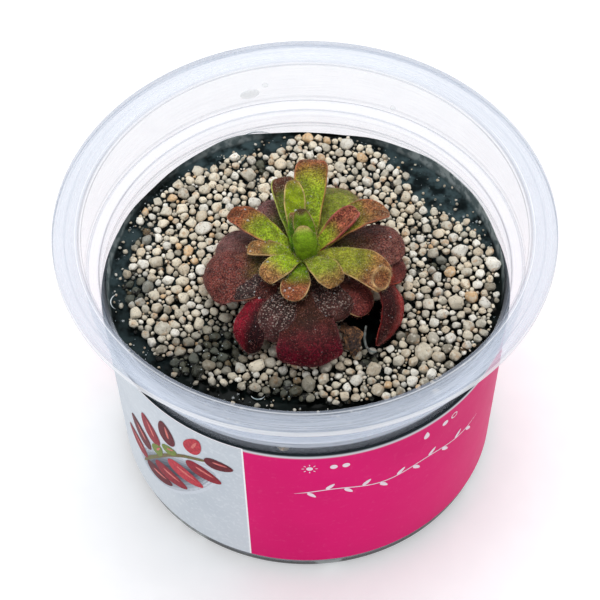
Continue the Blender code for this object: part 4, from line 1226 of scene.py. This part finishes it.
def eased_loop(profile):
    """A closed profile with its corners eased by short arcs, and points close enough for the lines."""
    eased = []
    for before, corner, after in zip(profile[-1:] + profile[:-1], profile, profile[1:] + profile[:1]):
        on_axis = corner[0] < 0.01
        eased += [np.array(corner, float)] if on_axis else corner_arc(before, corner, after, 0.45, 0.4)
    dense = []
    for here, after in zip(eased, eased[1:] + eased[:1]):
        on_axis = here[0] < 0.01 and after[0] < 0.01
        top = max(here[1], after[1])
        spacing = 0.24 if top > 62.0 else 0.4 if top > 47.5 else 2.8
        steps = 1 if on_axis else max(1, math.ceil(np.linalg.norm(after - here) / spacing))
        dense += [lerp(here, after, step / steps) for step in range(steps)]
    return np.array(dense)


def make_ring(name, profile, roughness, *replaced):
    """A closed profile of (radius, height) turned about Z, with the look of each of its points."""
    section = eased_loop(profile)
    on_axis = np.repeat(np.array(section)[:, 0] < 0.01, CUP_SEGMENTS)
    faces = [(a, d, c, b) for a, b, c, d in grid_faces(len(section), CUP_SEGMENTS, True, True)
             if not (on_axis[a] and on_axis[c])]
    angle = TURN * np.arange(CUP_SEGMENTS) / CUP_SEGMENTS
    looks = np.array([plastic_look(radius, height) for radius, height in section])
    travelled = np.concatenate([[0.0], np.cumsum(np.linalg.norm(np.diff(section, axis=0), axis=1))])
    # The lines fade towards the back, where they lie flatter to the light
    seen = 0.3 + 0.7 * smoothstep((0.95 - np.sin(angle)) / 0.7)
    veil = np.minimum(np.repeat(looks[:, 0], CUP_SEGMENTS) + front_light_veil(section, angle), 0.92)
    attributes = {"veil": veil, "line": np.outer(looks[:, 1], seen).ravel(),
                  "travelled": np.repeat(travelled, CUP_SEGMENTS)}
    rings = round_rings(section[:, :1], section[:, 1:], CUP_SEGMENTS)
    made = mesh_object("cup_%s_clear" % name, rings.reshape(-1, 3), faces,
                       plastic_material("cup_%s_plastic" % name, roughness), attributes, smooth_angle=50)
    clean_up(made)
    piece(made, "clear_plastic", *replaced)


def clean_up(made):
    """Weld doubled points and turn all faces outwards."""
    work = bmesh.new()
    work.from_mesh(made.data)
    bmesh.ops.remove_doubles(work, verts=work.verts, dist=1e-7)
    bmesh.ops.recalc_face_normals(work, faces=work.faces)
    work.to_mesh(made.data)
    work.free()


def plastic_material(name, roughness):
    """Milky clear plastic with fine streaks round the axis, grey lines of painted shade and pale lines of
    painted highlight at its bends, and a painted view of the gel through its foot.
    """
    shader = Shader(name, roughness=roughness, ior=1.5, specular_ior_level=0.45)
    flat = shader.node("VectorMath", "Vector", {0: shader.place(), 1: (1.0, 1.0, 0.0)}, operation="MULTIPLY")
    way = shader.node("VectorMath", "Vector", {"Vector": flat}, operation="NORMALIZE")
    across = shader.node("CombineXYZ", "Vector", {"Z": shader.times(shader.attribute("travelled"), 2.6)})
    wide = shader.node("VectorMath", "Vector", {"Vector": way}, operation="SCALE", scale=2.6)
    streak_place = shader.node("VectorMath", "Vector", {0: wide, 1: across}, operation="ADD")
    streaks = shader.node("TexNoise", "Fac", {"Vector": streak_place}, scale=1.6, detail=5.0, roughness=0.65)
    tone = shader.mix(shader.span(streaks, 0.36, 0.64), srgb(192, 202, 217), srgb(212, 219, 231))
    # Painted shade and painted highlights: grey and pale lines at the bends
    line = shader.attribute("line")
    tone = shader.mix(shader.span(line, 0.0, 1.0), tone, srgb(92, 100, 118))
    tone = shader.mix(shader.span(line, 0.0, -1.0), tone, srgb(253, 253, 255))
    # Painted refraction: the foot shows the dark gel with pale patches, as seen through it
    foot = shader.blotches(0.1, 3.0, 0.56, 0.66, srgb(30, 36, 33), srgb(150, 158, 156))
    shader.drive("Base Color", shader.mix(shader.span(line, 1.0, 1.6), tone, foot))
    shader.drive("Alpha", shader.times(shader.attribute("veil"), shader.span(streaks, 0.3, 0.7, 0.8, 1.16)))
    shader.bump(streaks, 0.03)
    return shader.material


# Label

def label_radius(height):
    return body_radius(height) + 0.02


def wrapped(outline, lift):
    """A flat patch on the label: points and faces from a nearly convex outline.

    The outline is of (azimuth, height), with azimuths in degrees from the front, towards +X.
    """
    outline = np.array(outline)
    centre = outline.mean(axis=0)
    layers, count = 6, len(outline)
    spots = [centre] + [centre + (corner - centre) * layer / layers
                        for layer in range(1, layers + 1) for corner in outline]
    faces = [(0, 1 + j, 1 + (j + 1) % count) for j in range(count)]
    faces += [(start + j, start + count + j, start + count + (j + 1) % count, start + (j + 1) % count)
              for start in range(1, 1 + (layers - 1) * count, count) for j in range(count)]
    return [on_label(azimuth, height, lift) for azimuth, height in spots], faces


def on_label(azimuth, height, lift):
    angle = math.radians(azimuth - 90.0)
    radius = label_radius(height) + LABEL_THICKNESS + lift
    return radius * math.cos(angle), radius * math.sin(angle), height


def oval(azimuth, height, long, wide, tilt, points=36, power=1.0):
    """An oval outline on the label, long and wide in millimetres, tilted in degrees."""
    a = TURN * np.arange(points) / points
    u = 0.5 * long * np.cos(a)
    v = 0.5 * wide * np.sin(a) * (1.0 - 0.25 * np.cos(a)) ** power
    c, s = math.cos(math.radians(tilt)), math.sin(math.radians(tilt))
    scale = math.degrees(1.0 / label_radius(height))
    return np.stack([azimuth + (u * c - v * s) * scale, height + u * s + v * c], axis=1)


def stroke(path, width, lift):
    """A line of even width along (azimuth, height) points, as a strip on the label."""
    path = np.array(path, float)
    scale = math.degrees(1.0 / label_radius(30.0))
    way = np.gradient(path / [scale, 1.0], axis=0)
    way /= np.linalg.norm(way, axis=1)[:, None]
    across = np.stack([-way[:, 1] * scale, way[:, 0]], axis=1)
    tapered = 0.5 * width * np.sqrt(np.clip(np.minimum(np.linspace(0, 12, len(path)),
                                                       np.linspace(12, 0, len(path))), 0.04, 1.0))
    left, right = path + across * tapered[:, None], path - across * tapered[:, None]
    points = [on_label(a, z, lift) for a, z in np.concatenate([left, right])]
    return points, [tuple(reversed(face)) for face in grid_faces(2, len(path))]


def label_sheet(low, high, start, end, lift, steps):
    """A strip of the label between two azimuths, as a thin curved sheet."""
    azimuths = np.linspace(start, end, steps)
    heights = np.linspace(low, high, 26)
    points = [on_label(a, z, lift) for z in heights for a in azimuths]
    return points, grid_faces(len(heights), steps)


def ink_at(radius, height):
    """1 on the film's printed face, 0.5 on its pale back and 0 at its dark edges."""
    depth = radius - label_radius(height)
    if depth > 0.7 * LABEL_THICKNESS:
        return float(height < LABEL_TOP - 0.02)
    return 0.5 if depth < 0.1 and height < LABEL_TOP - 0.5 else 0.0


def make_print(name, ink, colour, deep, parts):
    add_piece(name, parts, print_material(ink, colour, deep), "label_print")


def make_label():
    """The printed film: a magenta wrap, a pale panel with a sprig, dots and small signs."""
    seam = math.degrees(LABEL_SEAM / 2 / 40.0)
    heights = [lerp(LABEL_BOTTOM, LABEL_TOP, share) for share in np.linspace(0.0, 1.0, 30)]
    profile = [(label_radius(z) + LABEL_THICKNESS, z) for z in heights]
    profile += [(label_radius(z), z) for z in reversed(heights)]
    # The film starts and ends at the seam on the back
    steps = 320
    degrees = np.linspace(seam, 360.0 - seam, steps) - 180.0
    # Columns close up to the panel's edges, so that its boundaries are sharp
    for edge in PANEL:
        near = int(np.argmin(np.abs(degrees - edge)))
        degrees[near], degrees[near + 1] = edge - 0.05, edge + 0.05
    rows = len(profile)
    points = [(r * math.cos(a), r * math.sin(a), z) for a in np.radians(degrees - 90.0) for r, z in profile]
    faces = grid_faces(steps, rows, round_columns=True)
    faces += [tuple(range(rows)), tuple(reversed(range((steps - 1) * rows, steps * rows)))]
    panel = ((degrees > PANEL[0]) & (degrees < PANEL[1])).astype(float)
    attributes = {"ink": np.tile([ink_at(*spot) for spot in profile], steps), "panel": np.repeat(panel, rows)}
    made = mesh_object("label_film", points, faces, film_material(), attributes, smooth_angle=40)
    clean_up(made)
    piece(made, "label_print", "label")
    rules = [label_sheet(LABEL_BOTTOM + 0.1, LABEL_TOP - 0.1, PANEL[1] - 0.25, PANEL[1] + 0.25, INK, 4),
             label_sheet(LABEL_TOP - 0.35, LABEL_TOP - 0.05, PANEL[0], PANEL[1], INK, 60)]
    make_print("label_rules", "label_rule_print", srgb(250, 246, 250), srgb(240, 236, 242), rules)
    make_sprig()
    make_signs()


def film_material():
    """The film: magenta ink and a pale panel on its outer face, a pale back and dark edges."""
    shader = Shader("label_film_print", roughness=0.4, specular_ior_level=0.05)
    cloud = shader.noise(0.035, 2.0)
    magenta = shader.mix(shader.span(cloud, 0.35, 0.65), srgb(214, 2, 104), srgb(222, 8, 110))
    magenta = shader.blotches(0.9, 3.0, 0.55, 0.75, magenta, srgb(236, 110, 160), 0.1)
    pale = shader.mix(shader.span(cloud, 0.3, 0.7), srgb(208, 214, 220), srgb(190, 198, 206))
    pale = shader.blotches(1.1, 2.0, 0.5, 0.7, pale, srgb(232, 236, 240), 0.3)
    inked = shader.mix(shader.attribute("panel"), magenta, pale)
    ink = shader.attribute("ink")
    plain = shader.mix(shader.span(ink, 0.0, 0.5), srgb(44, 52, 56), srgb(206, 211, 216))
    shader.drive("Base Color", shader.mix(shader.span(ink, 0.5, 1.0), plain, inked))
    shader.bump(shader.noise(0.05, 2.0), 0.4)
    return shader.material


# The printed sprig: (azimuth, height) along its stem, the light and dark ink of its leaves,
# and (azimuth, height, length, width, tilt, ink) of each leaf
SHADE_STEPS = 7
SHADE_PALE = (206, 212, 220)
SHADE_DARK = (60, 66, 78)
SPRIG_INKS = [(srgb(150, 22, 42), srgb(96, 8, 26)), (srgb(104, 14, 30), srgb(60, 6, 18)),
              (srgb(196, 52, 66), srgb(130, 18, 40)), (srgb(122, 140, 58), srgb(84, 96, 40))]
SPRIG_STEM = [(-58.0, 15.5), (-54.0, 20.0), (-49.0, 24.5), (-44.0, 29.0), (-37.0, 33.5), (-28.0, 36.5)]
SPRIG_LEAVES = [
    (-60.5, 20.6, 8.2, 4.4, 142, 0), (-50.2, 16.6, 8.4, 4.6, 8, 1), (-57.0, 27.0, 8.8, 4.8, 128, 1),
    (-44.4, 20.6, 9.2, 4.8, -4, 0), (-51.0, 33.0, 8.8, 4.6, 112, 0), (-38.0, 25.8, 9.2, 4.8, -14, 2),
    (-43.4, 37.4, 7.8, 4.2, 98, 1), (-31.0, 30.6, 8.4, 4.4, -16, 0), (-33.4, 39.4, 7.0, 3.8, 66, 2),
    (-25.6, 36.2, 6.4, 3.6, 4, 1), (-48.6, 27.4, 5.0, 3.0, 60, 3), (-43.0, 31.4, 4.6, 2.8, 30, 3),
]


def make_sprig():
    """An arched sprig of rounded leaves over a soft slate shadow."""
    for step in range(SHADE_STEPS):
        tone = [lerp(pale, dark, step / (SHADE_STEPS - 1)) for pale, dark in zip(SHADE_PALE, SHADE_DARK)]
        shade = oval(-43.0, 23.5, 31.0 - 2.4 * step, 13.0 - 1.7 * step, 40)
        make_print("label_sprig_shade_%d" % step, "label_shade_print_%d" % step, srgb(*tone),
                   srgb(*(value - 10 for value in tone)), [wrapped(shade, (1.0 + 0.15 * step) * INK)])
    make_print("label_sprig_stem", "label_stem_print", srgb(104, 112, 62), srgb(130, 60, 60),
               [stroke(softened(SPRIG_STEM, 50, 8), 0.9, 2.0 * INK)])
    for number, (light, dark) in enumerate(SPRIG_INKS):
        make_print("label_sprig_leaves_%d" % number, "label_leaf_%d" % number, light, dark,
                   [wrapped(oval(*leaf), 2.4 * INK) for *leaf, ink in SPRIG_LEAVES if ink == number])
    make_print("label_sprig_gleams", "label_gleam_print", srgb(214, 120, 112), srgb(190, 80, 84),
               [wrapped(oval(a + 0.5, z + 0.6, 0.5 * long, 0.16 * wide, tilt), 3.0 * INK)
                for a, z, long, wide, tilt, _ in SPRIG_LEAVES])


def make_signs():
    """White dots and small signs: a ring, a sun, a drop and a wavy vine."""
    turns = TURN * np.arange(41) / 40
    parts = [wrapped(oval(azimuth, height, 1.5, 1.5, 0, power=0.0), INK)
             for azimuth, height in ((7.0, 41.2), (10.4, 41.2), (41.2, 41.4))]
    ring = np.stack([44.7 + 1.05 * np.cos(turns), 41.7 + 0.72 * np.sin(turns)], axis=1)
    parts.append(stroke(ring, 0.28, INK))
    # A sun to the left of the first dots
    parts.append(wrapped(oval(0.4, 41.0, 1.3, 1.3, 0, power=0.0), INK))
    for c, s in zip(np.cos(turns[:40:5]), np.sin(turns[:40:5])):
        parts.append(stroke([(0.4 + r * c * 1.42, 41.0 + r * s) for r in (1.0, 1.2, 1.4, 1.6)], 0.22, INK))
    # A drop to the left of the right-hand dots
    half_turns = 0.5 * turns[:40]
    swell = 1.42 * 0.85 * np.sin(turns[:40]) * np.sin(half_turns) ** 0.9
    parts.append(wrapped(np.stack([34.6 + swell, 41.4 + 1.2 * np.cos(turns[:40])], axis=1), INK))
    # A wavy vine whose leaves stand on either side in turn
    vine = [(a, 32.0 + 0.7 * math.sin(0.22 * a)) for a in np.linspace(-4.0, 57.0, 120)]
    parts.append(stroke(vine, 0.3, INK))
    for number, azimuth in enumerate(np.arange(0.0, 56.0, 5.2)):
        side = 1 if number % 2 else -1
        height = 32.0 + 0.7 * math.sin(0.22 * azimuth) + 1.1 * side
        parts.append(wrapped(oval(azimuth + 0.9, height, 2.4, 0.95, 48 * side), 1.2 * INK))
    make_print("label_signs", "label_white_print", srgb(240, 222, 232), srgb(232, 206, 220), parts)


# Lights, camera and stage

def area_light(name, where, size, watts):
    data = bpy.data.lights.new(name, "AREA")
    data.shape = "RECTANGLE"
    data.size, data.size_y = size
    data.energy = watts
    lamp = bpy.data.objects.new(name, data)
    lamp.location = where
    lamp.rotation_euler = (LIGHT_TARGET - Vector(where)).to_track_quat("-Z", "Y").to_euler()
    bpy.context.scene.collection.objects.link(lamp)


def set_stage():
    shader = Shader("floor_paper", roughness=0.6)
    shader.drive("Base Color", shader.blotches(0.2, 3.0, 0.3, 0.7, (0.72, 0.725, 0.74), (0.75, 0.755, 0.765)))
    shader.set("Emission Color", (1.0, 1.0, 1.0, 1.0))
    shader.set("Emission Strength", 0.34)
    corners = [(x * FLOOR_SPAN, y * FLOOR_SPAN, -0.05) for x, y in ((-1, -1), (1, -1), (1, 1), (-1, 1))]
    mesh_object("floor", corners, [(0, 1, 2, 3)], shader.material)
    scene = bpy.context.scene
    scene.world = bpy.data.worlds.new("studio")
    scene.world.use_nodes = True
    background = scene.world.node_tree.nodes["Background"]
    background.inputs["Color"].default_value = (0.95, 0.97, 1.0, 1.0)
    background.inputs["Strength"].default_value = 0.70
    scene.view_settings.view_transform = "Standard"
    scene.cycles.transparent_max_bounces = 24
    area_light("soft_top", (0.05, 0.15, 0.75), (0.45, 0.45), 2.6)
    area_light("soft_left", (-0.6, -0.25, 0.45), (0.4, 0.5), 0.7)


def set_camera():
    data = bpy.data.cameras.new("camera")
    data.sensor_width = SENSOR_WIDTH
    data.lens = FOCAL_PX / IMAGE_WIDTH_PX * SENSOR_WIDTH
    data.dof.use_dof = False
    data.clip_start, data.clip_end = 0.01, 10.0
    back = Vector((0.0, -math.cos(CAMERA_ELEVATION), math.sin(CAMERA_ELEVATION)))
    right = Vector((1.0, 0.0, 0.0))
    up = back.cross(right)
    facing = Matrix((right, up, back)).transposed()
    facing = (facing @ Matrix.Rotation(CAMERA_YAW, 3, "Y") @ Matrix.Rotation(CAMERA_PITCH, 3, "X")
              @ Matrix.Rotation(CAMERA_ROLL, 3, "Z"))
    camera = bpy.data.objects.new("camera", data)
    where = Vector((0.0, 0.0, CUP_HEIGHT)) * MM + back * CAMERA_DISTANCE * MM
    camera.matrix_world = Matrix.Translation(where) @ facing.to_4x4()
    bpy.context.scene.collection.objects.link(camera)
    bpy.context.scene.camera = camera


def main():
    skin = leaf_material("burgundy_leaf_skin", 0.04)
    skirt_blades = make_rosette("rosette_skirt_leaves", SKIRT, [crown_part(*SKIRT_CROWN, UMBER), stem_part()],
                                skin, "burgundy_leaf", "rosette_skirt", 1000)
    skin = leaf_material("green_leaf_skin", 0.03)
    heart_blades = make_rosette("rosette_heart_leaves", HEART, [crown_part(*HEART_CROWN, MOSS)],
                                skin, "green_leaf", "rosette_heart", 3000)
    withered = make_withered()
    make_strand()
    make_hairs("skirt", skirt_blades, 3.0, srgb(150, 70, 66), srgb(206, 150, 138), "burgundy_leaf", 51)
    make_hairs("heart", heart_blades, 5.0, srgb(150, 110, 70), srgb(224, 214, 176), "green_leaf", 52)
    make_dew(skirt_blades + heart_blades)
    make_grains([rings for _, _, rings, _ in skirt_blades + heart_blades] + [withered])
    make_gel()
    make_drops_and_specks()
    make_cup()
    make_label()
    set_stage()
    set_camera()


main()
